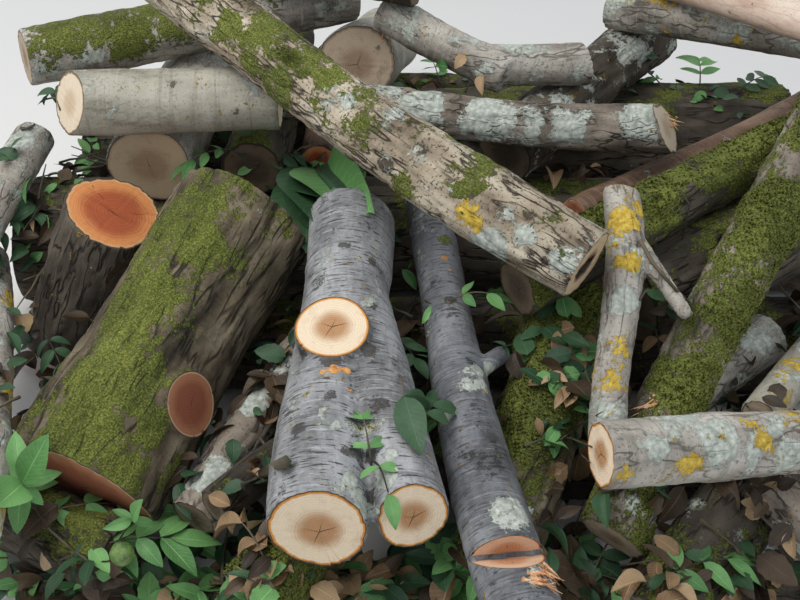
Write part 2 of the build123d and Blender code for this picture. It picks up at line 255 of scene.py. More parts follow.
# crack is each bark's dark colour: on dashes, specks and stains it is the bark's own dark, and in the cracks
# it is partly painted shade
barkLooks = dict(
    cherry=dict(
        tones=((0.11, 0.11, 0.112), (0.26, 0.265, 0.275), (0.43, 0.435, 0.445)),
        crack=(0.035, 0.030, 0.027), cracks=0.15, crackSize=30, crackStretch=(1, 1, 0.3), bands=0.7,
        dashes=0.9, specks=0.25, bump=0.0022, rough=0.52),
    slate=dict(
        tones=((0.055, 0.057, 0.062), (0.135, 0.142, 0.155), (0.27, 0.28, 0.295)),
        crack=(0.022, 0.019, 0.018), cracks=0.15, crackSize=30, crackStretch=(1, 1, 0.3), bands=0.7,
        dashes=0.7, specks=0.25, bump=0.002, rough=0.5),
    fissured=dict(
        tones=((0.10, 0.072, 0.048), (0.34, 0.28, 0.20), (0.62, 0.55, 0.43)),
        crack=(0.035, 0.025, 0.018), cracks=1.0, crackSize=46, crackStretch=(1, 1, 0.2), bands=0.15,
        specks=0.8, bump=0.005, rough=0.85),
    papery=dict(
        tones=((0.13, 0.115, 0.095), (0.34, 0.31, 0.265), (0.56, 0.53, 0.47)), crack=(0.05, 0.04, 0.03),
        cracks=0.7, crackSize=34, crackStretch=(1, 1, 0.35), bands=0.3, specks=0.5, bump=0.0025,
        rough=0.8),
    smooth=dict(
        tones=((0.17, 0.16, 0.12), (0.34, 0.32, 0.26), (0.48, 0.46, 0.38)), crack=(0.06, 0.05, 0.035),
        cracks=0.2, crackSize=26, crackStretch=(1, 1, 0.4), bands=0.35, specks=0.35, bump=0.0016,
        rough=0.7),
    scaly=dict(
        tones=((0.055, 0.045, 0.035), (0.20, 0.165, 0.13), (0.36, 0.31, 0.25)),
        crack=(0.02, 0.015, 0.012), cracks=0.9, crackSize=40, crackStretch=(1, 1, 0.4), bands=0.1,
        specks=0.4, bump=0.004, rough=0.85),
    brown=dict(
        tones=((0.06, 0.035, 0.022), (0.17, 0.10, 0.065), (0.30, 0.20, 0.14)),
        crack=(0.03, 0.02, 0.014), cracks=0.4, crackSize=30, crackStretch=(1, 1, 0.3), bands=0.5,
        specks=0.2, bump=0.0018, rough=0.65),
    # The dark bark is painted shade: far darker than the other barks, it stands for logs that lie in deep
    # shade, and on the hidden logs below it makes the gaps between the logs look dark
    dark=dict(
        tones=((0.022, 0.018, 0.013), (0.065, 0.053, 0.040), (0.15, 0.125, 0.095)),
        crack=(0.010, 0.008, 0.006), cracks=0.9, crackSize=34, crackStretch=(1, 1, 0.22), bands=0.1,
        specks=0.3, bump=0.005, rough=0.85),
    mossy=dict(
        tones=((0.032, 0.024, 0.016), (0.12, 0.094, 0.060), (0.27, 0.225, 0.155)),
        crack=(0.012, 0.010, 0.006), cracks=0.9, crackSize=26, crackStretch=(1, 1, 0.2), bands=0.1,
        specks=0.3, bump=0.006, rough=0.9),
    peeled=dict(
        tones=((0.42, 0.27, 0.20), (0.66, 0.50, 0.40), (0.80, 0.68, 0.56)), crack=(0.25, 0.13, 0.08),
        cracks=0.25, crackSize=40, crackStretch=(1, 1, 0.12), bands=0.1, specks=0.15, bump=0.001,
        rough=0.55),
)


def startGroup(name, inputs):
    group = bpy.data.node_groups.new(name, "ShaderNodeTree")
    for label, kind in inputs.items():
        group.interface.new_socket(label, in_out="INPUT", socket_type=kind)
    return group, group.nodes.new("NodeGroupInput").outputs


def endGroup(group, results):
    finish = group.nodes.new("NodeGroupOutput")
    for label, value in results.items():
        group.interface.new_socket(label, in_out="OUTPUT", socket_type="NodeSocketFloat")
    for label, value in results.items():
        group.links.new(value, finish.inputs[label])
    return group


def useGroup(tree, group, values):
    node = tree.nodes.new("ShaderNodeGroup")
    node.node_tree = group
    for label, value in values.items():
        feed(tree, node.inputs[label], value)
    return node.outputs


# Noise that every bark shares: tones, bands and strokes round the stem, specks, crust and patches
def barkPatternGroup():
    group, given = startGroup("barkPattern", dict(Grain="NodeSocketVector"))
    grain = given["Grain"]
    return endGroup(group, dict(
        Tone=cloud(group, grain, 16, (1, 1, 0.4), 4),
        Ripple=cloud(group, grain, 26, (0.3, 0.3, 6), 3, 0.65),
        Band=slope(group, cloud(group, grain, 9, (0.35, 0.35, 7), 3, 0.7), 0.56, 0.66),
        Stroke=cloud(group, grain, 60, (0.55, 0.55, 4.5), 2, 0.55),
        Where=slope(group, cloud(group, grain, 11, detail=1), 0.36, 0.58),
        Speck=slope(group, cloud(group, grain, 190, detail=1), 0.6, 0.68),
        Fine=cloud(group, grain, 110, detail=3, roughness=0.7),
        Patch=cloud(group, grain, 30, detail=2, roughness=0.6),
        Lumps=lumpsOf(group, grain, 95),
    ))


# How far a crust covers the bark: its amount, made ragged by fine and broad noise
def crustGroup():
    numbers = dict.fromkeys(("Amount", "Fine", "Patch", "Breakup"), "NodeSocketFloat")
    group, given = startGroup("crust", numbers)
    fine = times(group, minus(group, given["Fine"], 0.5), 1.5)
    patch = times(group, minus(group, given["Patch"], 0.5), 1.3)
    ragged = times(group, plus(group, fine, patch), given["Breakup"])
    return endGroup(group, dict(Cover=slope(group, plus(group, given["Amount"], ragged), 0.42, 0.56)))


barkPattern = barkPatternGroup()
crust = crustGroup()


def barkMaterial(name, look):
    material, tree, surface = newMaterial(name)
    grain = attribute(tree, "grain", "Vector")
    seen = useGroup(tree, barkPattern, dict(Grain=grain))
    dark, mid, light = look["tones"]

    # Broad tones, then narrow bands that run round the stem
    colour = grade(tree, seen["Tone"], ((0.3, dark), (0.48, mid), (0.7, light)))
    ripple = seen["Ripple"]
    colour = blend(tree, times(tree, slope(tree, ripple, 0.52, 0.68), look["bands"]), colour, light)
    colour = blend(tree, times(tree, seen["Band"], look["bands"]), colour, dark)

    # Short strokes round the stem
    if look.get("dashes"):
        stroke = slope(tree, seen["Stroke"], 0.585, 0.65)
        colour = blend(tree, times(tree, stroke, look["dashes"]), colour, look["crack"])
        pale = times(tree, slope(tree, seen["Stroke"], 0.38, 0.33), 0.4 * look["dashes"])
        colour = blend(tree, pale, colour, scaled(light, 1.25))

    # Cracks along the stem, painted dark both as the darker bark down in them and as painted shade in them,
    # and specks
    seam = cloud(tree, grain, look["crackSize"], look["crackStretch"], 2, 0.5)
    seam = calc(tree, "ABSOLUTE", minus(tree, seam, 0.5))
    crack = minus(tree, 1.0, slope(tree, seam, 0.0, 0.045))
    crack = times(tree, crack, times(tree, seen["Where"], look["cracks"]))
    colour = blend(tree, crack, colour, look["crack"])
    colour = blend(tree, times(tree, seen["Speck"], look["specks"]), colour, look["crack"])

    # Damp dark crusts, scrapes, grey lichen, yellow lichen and moss, where the log has them
    fine = seen["Fine"]
    heights = [(ripple, look["bump"] * look["bands"]),
               (minus(tree, 1.0, crack), look["bump"]), (fine, 0.0009)]
    ragged = plus(tree, times(tree, minus(tree, fine, 0.5), 1.4),
                  times(tree, minus(tree, ripple, 0.5), 1.6))
    stain = slope(tree, plus(tree, attribute(tree, "stain"), ragged), 0.38, 0.68)
    colour = blend(tree, times(tree, stain, 0.85), colour, look["crack"])
    heights.append((stain, 0.0015))
    for kind, breakup, thickness in crustKinds:
        cover = useGroup(tree, crust, dict(Amount=attribute(tree, kind), Fine=fine, Patch=seen["Patch"],
                                           Breakup=breakup))["Cover"]
        if kind == "moss":
            pile = cloud(tree, grain, 300, detail=1)
            low, middle, high = lichenTones["moss"]
            tint = grade(tree, calc(tree, "MULTIPLY_ADD", pile, 0.6, times(tree, seen["Tone"], 0.4)),
                         ((0.3, low), (0.5, middle), (0.72, high)))
            heights.append((times(tree, cover, pile), thickness))
        else:
            low, high = lichenTones[kind]
            tint = grade(tree, plus(tree, times(tree, seen["Lumps"], 0.4),
                                    times(tree, fine, 0.9)), ((0.40, high), (0.82, low)))
            heights.append((cover, thickness))
        colour = blend(tree, cover, colour, tint)
    rough = calc(tree, "ADD", look["rough"], times(tree, cover, 0.1), clamp=True)
    dressSurface(tree, surface, colour, rough, 0.35, heights)
    return material


# Sawn faces. ring holds the place on the face from its pith, and how far out towards the bark, from 0 to 1.

woodLooks = dict(
    cream=dict(
        sap=(0.84, 0.69, 0.50), heart=(0.49, 0.265, 0.125), rim=(0.66, 0.27, 0.045),
        bark=(0.12, 0.07, 0.035), heartShare=0.5, pitch=0.0042,
        cracks=((20, 0.55), (75, 0.35), (165, 0.4), (250, 0.5)), stain=0.25),
    pale=dict(
        sap=(0.78, 0.66, 0.50), heart=(0.66, 0.50, 0.34), rim=(0.34, 0.22, 0.12),
        bark=(0.10, 0.08, 0.06), heartShare=0.45, pitch=0.004, cracks=((60, 0.25), (200, 0.2)),
        stain=0.15),
    tan=dict(
        sap=(0.60, 0.45, 0.29), heart=(0.44, 0.29, 0.17), rim=(0.50, 0.36, 0.22),
        bark=(0.12, 0.09, 0.07), heartShare=0.5, pitch=0.0052,
        cracks=((100, 0.45), (280, 0.3), (10, 0.2)), stain=0.45),
    orange=dict(
        sap=(0.62, 0.25, 0.085), heart=(0.36, 0.085, 0.030), rim=(0.56, 0.33, 0.15),
        bark=(0.08, 0.05, 0.035), heartShare=0.72, pitch=0.006,
        cracks=((80, 0.5), (100, 0.3), (265, 0.5), (190, 0.25)), stain=0.3),
    red=dict(
        sap=(0.44, 0.19, 0.10), heart=(0.29, 0.095, 0.050), rim=(0.55, 0.37, 0.23),
        bark=(0.09, 0.06, 0.04), heartShare=0.75, pitch=0.005, cracks=((30, 0.5), (210, 0.3)),
        stain=0.4),
    grey=dict(
        sap=(0.46, 0.36, 0.26), heart=(0.30, 0.205, 0.135), rim=(0.28, 0.21, 0.15),
        bark=(0.10, 0.08, 0.06), heartShare=0.45, pitch=0.005,
        cracks=((70, 0.4), (190, 0.4), (310, 0.3)), stain=0.5),
    pink=dict(
        sap=(0.74, 0.50, 0.34), heart=(0.60, 0.30, 0.16), rim=(0.66, 0.27, 0.07),
        bark=(0.08, 0.06, 0.05), heartShare=0.5, pitch=0.004, cracks=((90, 0.4),), stain=0.25),
    # The dark sawn wood is painted shade as well, for the ends of logs that lie in deep shade
    dark=dict(
        sap=(0.16, 0.12, 0.08), heart=(0.09, 0.065, 0.045), rim=(0.06, 0.045, 0.03),
        bark=(0.03, 0.024, 0.018), heartShare=0.6, pitch=0.006,
        cracks=((40, 0.5), (150, 0.5), (270, 0.4)), stain=0.7),
)


# Growth rings, rays, saw scratches and weathering of a sawn face, in places counted from its pith
def sawnFaceGroup():
    group, given = startGroup("sawnFace", dict(
        Ring="NodeSocketVector", Pitch="NodeSocketFloat", Heart="NodeSocketFloat"))
    ring = given["Ring"]
    across, above, out = addNode(group, "ShaderNodeSeparateXYZ", {0: ring}).outputs
    wobble = minus(group, cloud(group, ring, 16, (1, 1, 0.0), 3), 0.5)
    radius = calc(group, "SQRT", plus(group, times(group, across, across),
                                      times(group, above, above)))
    radius = plus(group, radius, times(group, wobble, 0.012))
    uneven = plus(group, out, times(group, wobble, 0.2))
    phase = calc(group, "DIVIDE", times(group, radius, 2 * math.pi), given["Pitch"])
    sway = times(group, calc(group, "SINE", times(group, radius, 240.0)), 1.6)
    rings = calc(group, "MULTIPLY_ADD", calc(group, "SINE", plus(group, phase, sway)), 0.5, 0.5)
    within = minus(group, given["Heart"], uneven)
    angle = calc(group, "ARCTAN2", above, across)
    fan = addNode(group, "ShaderNodeCombineXYZ", {0: times(group, angle, 9.0),
                                                  1: times(group, out, 0.9), 2: 3.0})
    edge = times(group, minus(group, cloud(group, ring, 70, (1, 1, 0)), 0.5), 0.03)
    return endGroup(group, dict(
        Wobble=wobble,
        Rings=rings,
        Heart=slope(group, within, -0.14, 0.24),
        Rays=cloud(group, fan.outputs[0], 3.0, detail=4, roughness=0.7),
        Scratch=cloud(group, ring, 50, (0.25, 5, 1), 3),
        Weather=slope(group, cloud(group, ring, 24, (1, 1, 0), 5, 0.7), 0.5, 0.72),
        Edge=plus(group, out, edge),
    ))


sawnPattern = sawnFaceGroup()


def woodMaterial(name, look):
    material, tree, surface = newMaterial(name)
    ring = attribute(tree, "ring", "Vector")
    across, above, out = addNode(tree, "ShaderNodeSeparateXYZ", {0: ring}).outputs
    seen = useGroup(tree, sawnPattern, dict(Ring=ring, Pitch=look["pitch"], Heart=look["heartShare"]))
    wobble, rings, heart = seen["Wobble"], seen["Rings"], seen["Heart"]
    rays, scratch = seen["Rays"], seen["Scratch"]
    colour = blend(tree, heart, look["sap"], look["heart"])
    strength = times(tree, calc(tree, "POWER", rings, 3.0), calc(tree, "MULTIPLY_ADD", heart, 0.26, 0.12))
    colour = blend(tree, strength, colour, scaled(look["heart"], 0.62))
    colour = blend(tree, times(tree, slope(tree, rays, 0.5, 0.75), 0.3), colour, look["heart"])
    weather = times(tree, seen["Weather"], look["stain"])
    colour = blend(tree, weather, colour, scaled(look["heart"], 0.5))
    mark = times(tree, slope(tree, scratch, 0.55, 0.7), 0.14)
    colour = blend(tree, mark, colour, scaled(look["sap"], 0.55))

    # Drying cracks that start at the pith, painted near black as the shade in them
    crack = None
    for turn, reach in look["cracks"]:
        turn = math.radians(turn)
        along = plus(tree, times(tree, across, math.cos(turn)), times(tree, above, math.sin(turn)))
        aside = minus(tree, times(tree, above, math.cos(turn)),
                     times(tree, across, math.sin(turn)))
        aside = calc(tree, "ABSOLUTE", plus(tree, aside, times(tree, wobble, 0.010)))
        width = times(tree, minus(tree, reach, out), 0.0022)
        inside = slope(tree, minus(tree, width, aside), 0.0, 0.0006)
        inside = times(tree, inside, calc(tree, "GREATER_THAN", along, 0.0))
        crack = inside if crack is None else calc(tree, "MAXIMUM", crack, inside)
    colour = blend(tree, times(tree, crack, 0.8), colour, scaled(look["heart"], 0.16))

    # Rotten heart painted near black, its rotten wood together with painted shade of the hollow, then inner
    # bark and bark at the rim
    rot = calc(tree, "MULTIPLY_ADD", wobble, 0.6, attribute(tree, "rot"))
    colour = blend(tree, slope(tree, rot, 0.05, 0.9), colour, (0.018, 0.012, 0.008))
    edge = seen["Edge"]
    colour = blend(tree, slope(tree, edge, 0.905, 0.935), colour, look["rim"])
    colour = blend(tree, slope(tree, edge, 0.955, 0.975), colour, look["bark"])
    heights = [(rings, 0.00025), (scratch, 0.0006), (minus(tree, 1.0, crack), 0.003), (rays, 0.0004)]
    dressSurface(tree, surface, colour, 0.72, 0.3, heights)
    return material


barks = {name: barkMaterial("bark_" + name, look) for name, look in barkLooks.items()}
woods = {name: woodMaterial("wood_" + name, look) for name, look in woodLooks.items()}
print("materials made")


# The camera stands where the photograph was taken from. A pixel is counted in a picture of 800 by 600.

cameraPlace = dict(shift=(-0.0733, -0.4830), back=1.536, height=1.62, tilt=52, lens=49.5, sensor=36)
pictureSize = (800, 600)


def cameraSpot():
    across, forward = cameraPlace["shift"]
    return Vector((across, forward - cameraPlace["back"], cameraPlace["height"]))


def throughPixel(pixel):
    reach = cameraPlace["lens"] / cameraPlace["sensor"] * pictureSize[0]
    ray = Vector((pixel[0] - pictureSize[0] / 2, pictureSize[1] / 2 - pixel[1], -reach))
    ray.rotate(Euler((math.radians(cameraPlace["tilt"]), 0, 0)))
    return ray.normalized()


# Logs. Each is made anew over its CAD solid: an even skin with uneven bark, and sawn faces with a crisp rim.
# moss, lichen, yellow and stain say how much of each lies on it.

# The hollow's half width and height, and how it narrows: depth in metres and share of its size
rottenHeart = dict(
    wide=0.034, high=0.019,
    steps=((0.0, 1.0), (0.003, 0.9), (0.012, 0.84), (0.03, 0.8), (0.07, 0.74), (0.12, 0.62), (0.18, 0.4)))
# The dark bark and the dark wood given to logs below are painted shade, for logs that lie in deep shade
logLooks = dict(
    twin_stem=dict(bark="cherry", wood="cream", voxel=0.0054, lichen=0.12, stain=0.1),
    slender_stem=dict(bark="slate", wood="pink", voxel=0.0055, lichen=0.2, stain=0.12),
    hollow_log=dict(bark="fissured", wood="tan", voxel=0.0054, lichen=0.25, moss=0.1, rot=rottenHeart),
    grey_stub=dict(bark="smooth", wood="pale", lichen=0.2),
    tan_log=dict(bark="papery", wood="tan", lichen=0.3),
    orange_stump=dict(bark="dark", wood="orange", lichen=0.1),
    mossy_trunk=dict(bark="mossy", wood="red", voxel=0.0066, moss=0.22, lichen=0.1),
    rough_brown=dict(bark="scaly", wood="dark", voxel=0.006, lichen=0.35),
    dark_under=dict(bark="dark", wood="dark", moss=0.1),
    moss_stump=dict(bark="mossy", wood="dark", moss=0.6),
    upper_left=dict(bark="papery", wood="grey", lichen=0.4, moss=0.28),
    left_pole=dict(bark="papery", wood="grey", lichen=0.5),
    left_limb=dict(bark="papery", wood="grey", lichen=0.45, yellow=0.2),
    top_dark=dict(bark="dark", wood="dark", lichen=0.2),
    grey_tan_log=dict(bark="smooth", wood="grey", lichen=0.3),
    pale_elbow=dict(bark="papery", wood="pale", lichen=0.45),
    lichen_log=dict(bark="scaly", wood="pale", lichen=0.42),
    dark_rough=dict(bark="dark", wood="dark", lichen=0.45),
    pale_right=dict(bark="papery", wood="pale", lichen=0.5, yellow=0.22),
    peeled_limb=dict(bark="peeled", wood="pale"),
    brown_branch=dict(bark="brown", wood="red", lichen=0.15),
    moss_curve=dict(bark="dark", wood="dark", moss=0.52),
    dark_trunk=dict(bark="dark", wood="dark", moss=0.2),
    yellow_branch=dict(bark="papery", wood="grey", lichen=0.35, yellow=0.18),
    right_mossy=dict(bark="scaly", wood="grey", moss=0.38, lichen=0.35),
    right_log=dict(bark="papery", wood="cream", lichen=0.3, yellow=0.08),
    fork_right=dict(bark="scaly", wood="dark", lichen=0.3),
    lower_right=dict(bark="dark", wood="dark", lichen=0.2, moss=0.2),
    moss_center=dict(bark="mossy", wood="dark", moss=0.45),
    dark_left=dict(bark="dark", wood="dark", moss=0.25),
    right_edge=dict(bark="smooth", wood="grey", lichen=0.35, yellow=0.2),
    grey_right=dict(bark="papery", wood="grey", lichen=0.45),
    orange_scrap=dict(bark="brown", wood="orange"),
    gap_limb=dict(bark="dark", wood="dark", moss=0.2),
)
# The hidden logs at the bottom of the heap get the dark bark and dark wood, painted shade, so that the gaps
# between the logs above look dark
shadedGroundLook = dict(bark="dark", wood="dark", voxel=0.014, moss=0.02)
plainVoxel = 0.0079
barkThickness = dict(fissured=0.0045, mossy=0.006, dark=0.005, scaly=0.004, papery=0.002, smooth=0.0012,
                     cherry=0.0012, slate=0.0012, brown=0.0014, peeled=0.0008)


# Spots that the photograph shows: the pixel, counted across and down, and how far each reaches, in metres
seenSpots = dict(
    moss=(
        (278, 90, 0.06), (292, 60, 0.04), (228, 28, 0.05), (402, 186, 0.035), (445, 240, 0.02),
        (250, 62, 0.035), (135, 300, 0.11), (105, 380, 0.12), (80, 440, 0.11), (180, 215, 0.1),
        (150, 420, 0.05), (205, 240, 0.06), (120, 480, 0.06), (745, 315, 0.12), (700, 385, 0.1),
        (785, 230, 0.12), (650, 192, 0.1), (720, 158, 0.1), (780, 130, 0.1), (600, 215, 0.06),
        (60, 32, 0.08), (130, 36, 0.07), (540, 400, 0.12), (550, 340, 0.08), (250, 585, 0.08),
        (620, 545, 0.09)),
    # The stain at (325, 148) is a knot hole: its dark is painted shade in the hole
    stain=(
        (360, 130, 0.02), (385, 165, 0.02), (530, 215, 0.016), (470, 195, 0.014),
        (545, 262, 0.014), (300, 120, 0.02), (325, 148, 0.022), (490, 172, 0.014),
        (420, 150, 0.02), (330, 360, 0.022), (302, 352, 0.018), (368, 350, 0.02),
        (372, 305, 0.014), (378, 405, 0.022), (345, 452, 0.012), (298, 430, 0.016),
        (372, 455, 0.022), (345, 246, 0.014), (372, 262, 0.012), (367, 500, 0.022),
        (330, 395, 0.012), (450, 300, 0.016), (505, 505, 0.02), (470, 362, 0.014),
        (172, 84, 0.01), (235, 110, 0.012)),
    lichen=(
        (330, 85, 0.03), (488, 246, 0.05), (525, 236, 0.03), (455, 190, 0.02),
        (350, 100, 0.025), (560, 262, 0.03), (362, 505, 0.035), (385, 478, 0.03),
        (350, 480, 0.02), (392, 455, 0.02), (474, 376, 0.035), (488, 372, 0.025),
        (512, 512, 0.04), (528, 508, 0.02), (720, 440, 0.05), (655, 448, 0.03),
        (790, 455, 0.04), (675, 415, 0.045), (765, 345, 0.03), (622, 300, 0.04),
        (420, 106, 0.07), (490, 116, 0.07), (570, 126, 0.06), (640, 118, 0.06),
        (255, 400, 0.04), (215, 470, 0.04), (640, 50, 0.05), (560, 100, 0.04)),
    yellow=(
        (466, 214, 0.032), (474, 222, 0.022), (690, 464, 0.03), (627, 470, 0.016),
        (765, 440, 0.02), (622, 220, 0.035), (626, 262, 0.025), (618, 345, 0.025),
        (735, 40, 0.02), (640, 210, 0.016), (612, 375, 0.014), (12, 300, 0.03), (10, 385, 0.03)),
    scrape=(
        (334, 369, 0.012), (346, 370, 0.01), (322, 372, 0.008), (350, 390, 0.005),
        (484, 388, 0.01), (444, 258, 0.01), (450, 270, 0.006), (655, 402, 0.012)),
)


def cadShape(name):
    mesh = frame["nodes"][name].data
    mesh.calc_loop_triangles()
    corners = np.empty(3 * len(mesh.loop_triangles), dtype=np.int32)
    mesh.loop_triangles.foreach_get("vertices", corners)
    return rowsOf(mesh.vertices), corners.reshape(-1, 3)


# What makes a flat face a saw cut: how even and how level its triangles lie, its least area, and the shares
# of its round that it fills when it counts as a cut and as a whole round end
cutRules = dict(even=0.9999, level=0.0003, area=0.0006, filled=0.36, round=0.55)


# The flat round faces of a solid are its saw cuts
def findCuts(points, triangles):
    first, second, third = (points[triangles[:, corner]] for corner in range(3))
    cross = np.cross(second - first, third - first)
    area = np.linalg.norm(cross, axis=1) / 2
    normal = cross / np.maximum(2 * area[:, None], 1e-12)
    level = np.sum(normal * first, axis=1)
    free = area > 1e-9
    cuts = []
    for seed in np.argsort(-area)[:60]:
        if not free[seed]:
            continue
        same = free & (normal @ normal[seed] > cutRules["even"])
        same &= np.abs(level - level[seed]) < cutRules["level"]
        free &= ~same
        whole = area[same].sum()
        middle = np.average((first + second + third)[same] / 3, axis=0, weights=area[same])
        rim = points[np.unique(triangles[same])]
        reach = np.linalg.norm(rim - middle, axis=1).max()
        filled = whole / (math.pi * reach ** 2)
        if whole > cutRules["area"] and filled > cutRules["filled"]:
            cut = dict(middle=middle, normal=normal[seed], reach=reach, area=whole)
            cut["round"] = filled > cutRules["round"]
            cut["across"], cut["upward"] = faceDirections(normal[seed])
            cut["rim"] = np.array(sorted((polar(rim, cut)[:2] for rim in rim), key=lambda spot: spot[0]))
            cuts.append(cut)
    return cuts


# Two directions in a cut face: level, and as steep as it goes
def faceDirections(normal):
    level = np.cross((0, 0, 1), normal) if abs(normal[2]) < 0.97 else np.array([1.0, 0, 0])
    level = level / np.linalg.norm(level)
    steep = np.cross(normal, level)
    return level, steep / np.linalg.norm(steep)


def polar(point, cut):
    away = point - cut["middle"]
    across, upward = away @ cut["across"], away @ cut["upward"]
    return np.arctan2(upward, across), np.hypot(across, upward), away @ cut["normal"]


# A sawn stub or notch keeps its place in the skin: the skin's points are set on its plane and its rim
def flattened(places, cut, voxel, ring, owner, number):
    turn, radius, ahead = polar(places, cut)
    limit = np.interp(turn, cut["rim"][:, 0], cut["rim"][:, 1], period=2 * math.pi)
    inside = (np.abs(ahead) < 1.3 * voxel) & (radius < limit + 0.5 * voxel)
    inside &= (radius < limit - 0.5 * voxel) | (np.abs(ahead) < 0.9 * voxel)
    radius = np.where(radius > limit - 0.5 * voxel, limit, radius)
    across, upward = radius * np.cos(turn), radius * np.sin(turn)
    flat = cut["middle"] + across[:, None] * cut["across"] + upward[:, None] * cut["upward"]
    places[inside] = flat[inside]
    ring[inside] = np.column_stack([across, upward, radius / limit])[inside]
    owner[inside] = number


def remeshed(name, voxel):
    node = frame["nodes"][name]
    mesh = node.data.copy()
    work = bmesh.new()
    work.from_mesh(mesh)
    bmesh.ops.remove_doubles(work, verts=work.verts, dist=0.00005)
    work.to_mesh(mesh)
    work.free()
    mesh.materials.clear()
    piece = addPiece("dressed_" + name, mesh)
    modifier = piece.modifiers.new("even", "REMESH")
    modifier.mode = "VOXEL"
    modifier.voxel_size = voxel
    graph = bpy.context.evaluated_depsgraph_get()
    even = bpy.data.meshes.new_from_object(piece.evaluated_get(graph))
    piece.modifiers.clear()
    piece.data = even
    bpy.data.meshes.remove(mesh)
    return piece


# A log's own straight frame: its front end, its directions and the bend that is taken out
def ownFrame(points, cuts):
    pairs = [(np.linalg.norm(one["middle"] - two["middle"]), number, other)
             for number, one in enumerate(cuts) for other, two in enumerate(cuts) if number < other]
    length, one, two = max(pairs)
    front, back = sorted((cuts[one]["middle"], cuts[two]["middle"]), key=lambda middle: middle[1])
    along = (back - front) / length
    side = np.cross(along, (0, 0, 1))
    side = side / np.linalg.norm(side)
    top = np.cross(side, along)
    local = (points - front) @ np.array([side, top, along]).T
    places = np.linspace(0, length, 13)
    knots = []
    for low, high in zip(places[:-1], places[1:]):
        inside = (local[:, 2] >= low) & (local[:, 2] < high)
        if inside.sum() > 8:
            middle = (local[inside, :2].min(axis=0) + local[inside, :2].max(axis=0)) / 2
            knots.append(((low + high) / 2, *middle))
    knots = np.array(knots)
    bends = [np.polyfit(knots[:, 0], knots[:, 1 + number], 2) for number in range(2)]
    return dict(front=front, axes=np.array([side, top, along]), length=length, bends=bends)


def straightened(points, own):
    local = (points - own["front"]) @ own["axes"].T
    for number in range(2):
        local[:, number] -= np.polyval(own["bends"][number], local[:, 2])
    return local


def spotCover(name, kind, places, local):
    cover = np.zeros(len(places))
    for spotKind, reach, place, owner in markedSpots:
        if owner == name and spotKind == kind:
            distance = np.linalg.norm(places - place, axis=1)
            distance = distance * (1 + 0.35 * layeredNoise(local, 0.4 * reach + 0.01, 77, 2))
            cover = np.maximum(cover, 1 - eased(distance, 0.35 * reach, 1.25 * reach))
    return cover


# Width of the furrows of rough barks, in metres. Barks without them have bands and collars round the stem.
furrowSize = dict(fissured=0.017, dark=0.02, mossy=0.026, scaly=0.016)


def barkRelief(local, kind, seed):
    stretched = local * (1, 1, 0.16)
    lumps = layeredNoise(local, 0.11, seed, 2)
    if kind in furrowSize:
        furrow = 1 - np.abs(softNoise(stretched, furrowSize[kind], seed + 11)) * 2.4
        furrow = eased(furrow, 0.1, 0.9)
        rough = layeredNoise(local, 0.018, seed + 17, 2)
        return -0.9 * furrow + 0.45 * rough + 0.7 * lumps
    bands = softNoise(local * (0.25, 0.25, 1), 0.012, seed + 5)
    collar = eased(softNoise(local * (0.12, 0.12, 1), 0.05, seed + 6), 0.35, 0.8)
    return 0.45 * bands + 1.1 * collar + 1.1 * lumps


def addVectors(mesh, name, values):
    flatValues = np.asarray(values, dtype=np.float32).ravel()
    mesh.attributes.new(name, "FLOAT_VECTOR", "POINT").data.foreach_set("vector", flatValues)


# Holds places inside the object's box, so that nothing dips into the floor or stands past the CAD model
def kept(places):
    return np.clip(places, np.array(cadBounds[0]) + 0.0002, np.array(cadBounds[1]) - 0.0002)


# Rows of a sawn face between its rim and its pith, or its hollow, as shares of the radius
soundRows = (0.97, 0.93, 0.84, 0.72, 0.6, 0.48, 0.36, 0.24, 0.12)
hollowRows = (0.97, 0.93, 0.86, 0.78, 0.7, 0.62)


# Takes the skin away just inside a saw cut, and gives the edges that this opens
def openedRim(work, cut, voxel):
    middle, normal = Vector(cut["middle"]), Vector(cut["normal"])
    depth = 0.35 * voxel
    plane = middle - normal * depth
    limit = 1.6 * cut["reach"] + 3 * voxel

    def ahead(vert):
        return (vert.co - plane).dot(normal)

    near = [face for face in work.faces
            if (face.calc_center_median() - middle).length < 1.25 * cut["reach"] + 2 * voxel
            and abs((face.calc_center_median() - middle).dot(normal)) < 4 * voxel]
    if not near:
        return []
    parts = list({item for face in near for item in (*face.verts, *face.edges, face)})
    bmesh.ops.bisect_plane(work, geom=parts, dist=1e-6, plane_co=plane, plane_no=normal)
    left = [vert for vert in work.verts
            if (vert.co - middle).length < 0.8 * cut["reach"] and ahead(vert) > 1e-5]
    if not left:
        return []
    beyond = set(left)
    while left:
        vert = left.pop()
        for edge in vert.link_edges:
            other = edge.other_vert(vert)
            if other not in beyond and ahead(other) > 1e-5 and (other.co - middle).length < limit:
                beyond.add(other)
                left.append(other)
    bmesh.ops.delete(work, geom=list(beyond), context="VERTS")
    return [edge for edge in work.edges if edge.is_boundary
            and abs(ahead(edge.verts[0])) < 2e-4 and abs(ahead(edge.verts[1])) < 2e-4
            and (edge.verts[0].co - middle).length < limit]


def middleOf(verts):
    return sum((vert.co for vert in verts), Vector()) / len(verts)


# A point of a sawn face knows its place from the pith, how far out it is, and how dark its hollow is painted,
# as rot together with painted shade
def facePoint(work, face, place, share, rotAndShade=None):
    made = work.verts.new(place)
    markPlace(made, face, share)
    if rotAndShade is not None:
        made[face["rot"]] = rotAndShade
    return made


def markPlace(vert, face, share):
    away = vert.co - face["pith"]
    vert[face["ring"]] = Vector((away.dot(face["across"]), away.dot(face["upward"]), share))


def soundRing(work, face, loop, share):
    row = []
    for vert in loop:
        place = face["pith"] + (vert.co - face["pith"]) * share
        sawMarks = (0.0006 * math.sin(place.dot(face["across"]) * 260 + 1.3)
                    + 0.0004 * math.sin(place.dot(face["upward"]) * 410))
        place += face["normal"] * sawMarks
        row.append(facePoint(work, face, place, share))
    return row


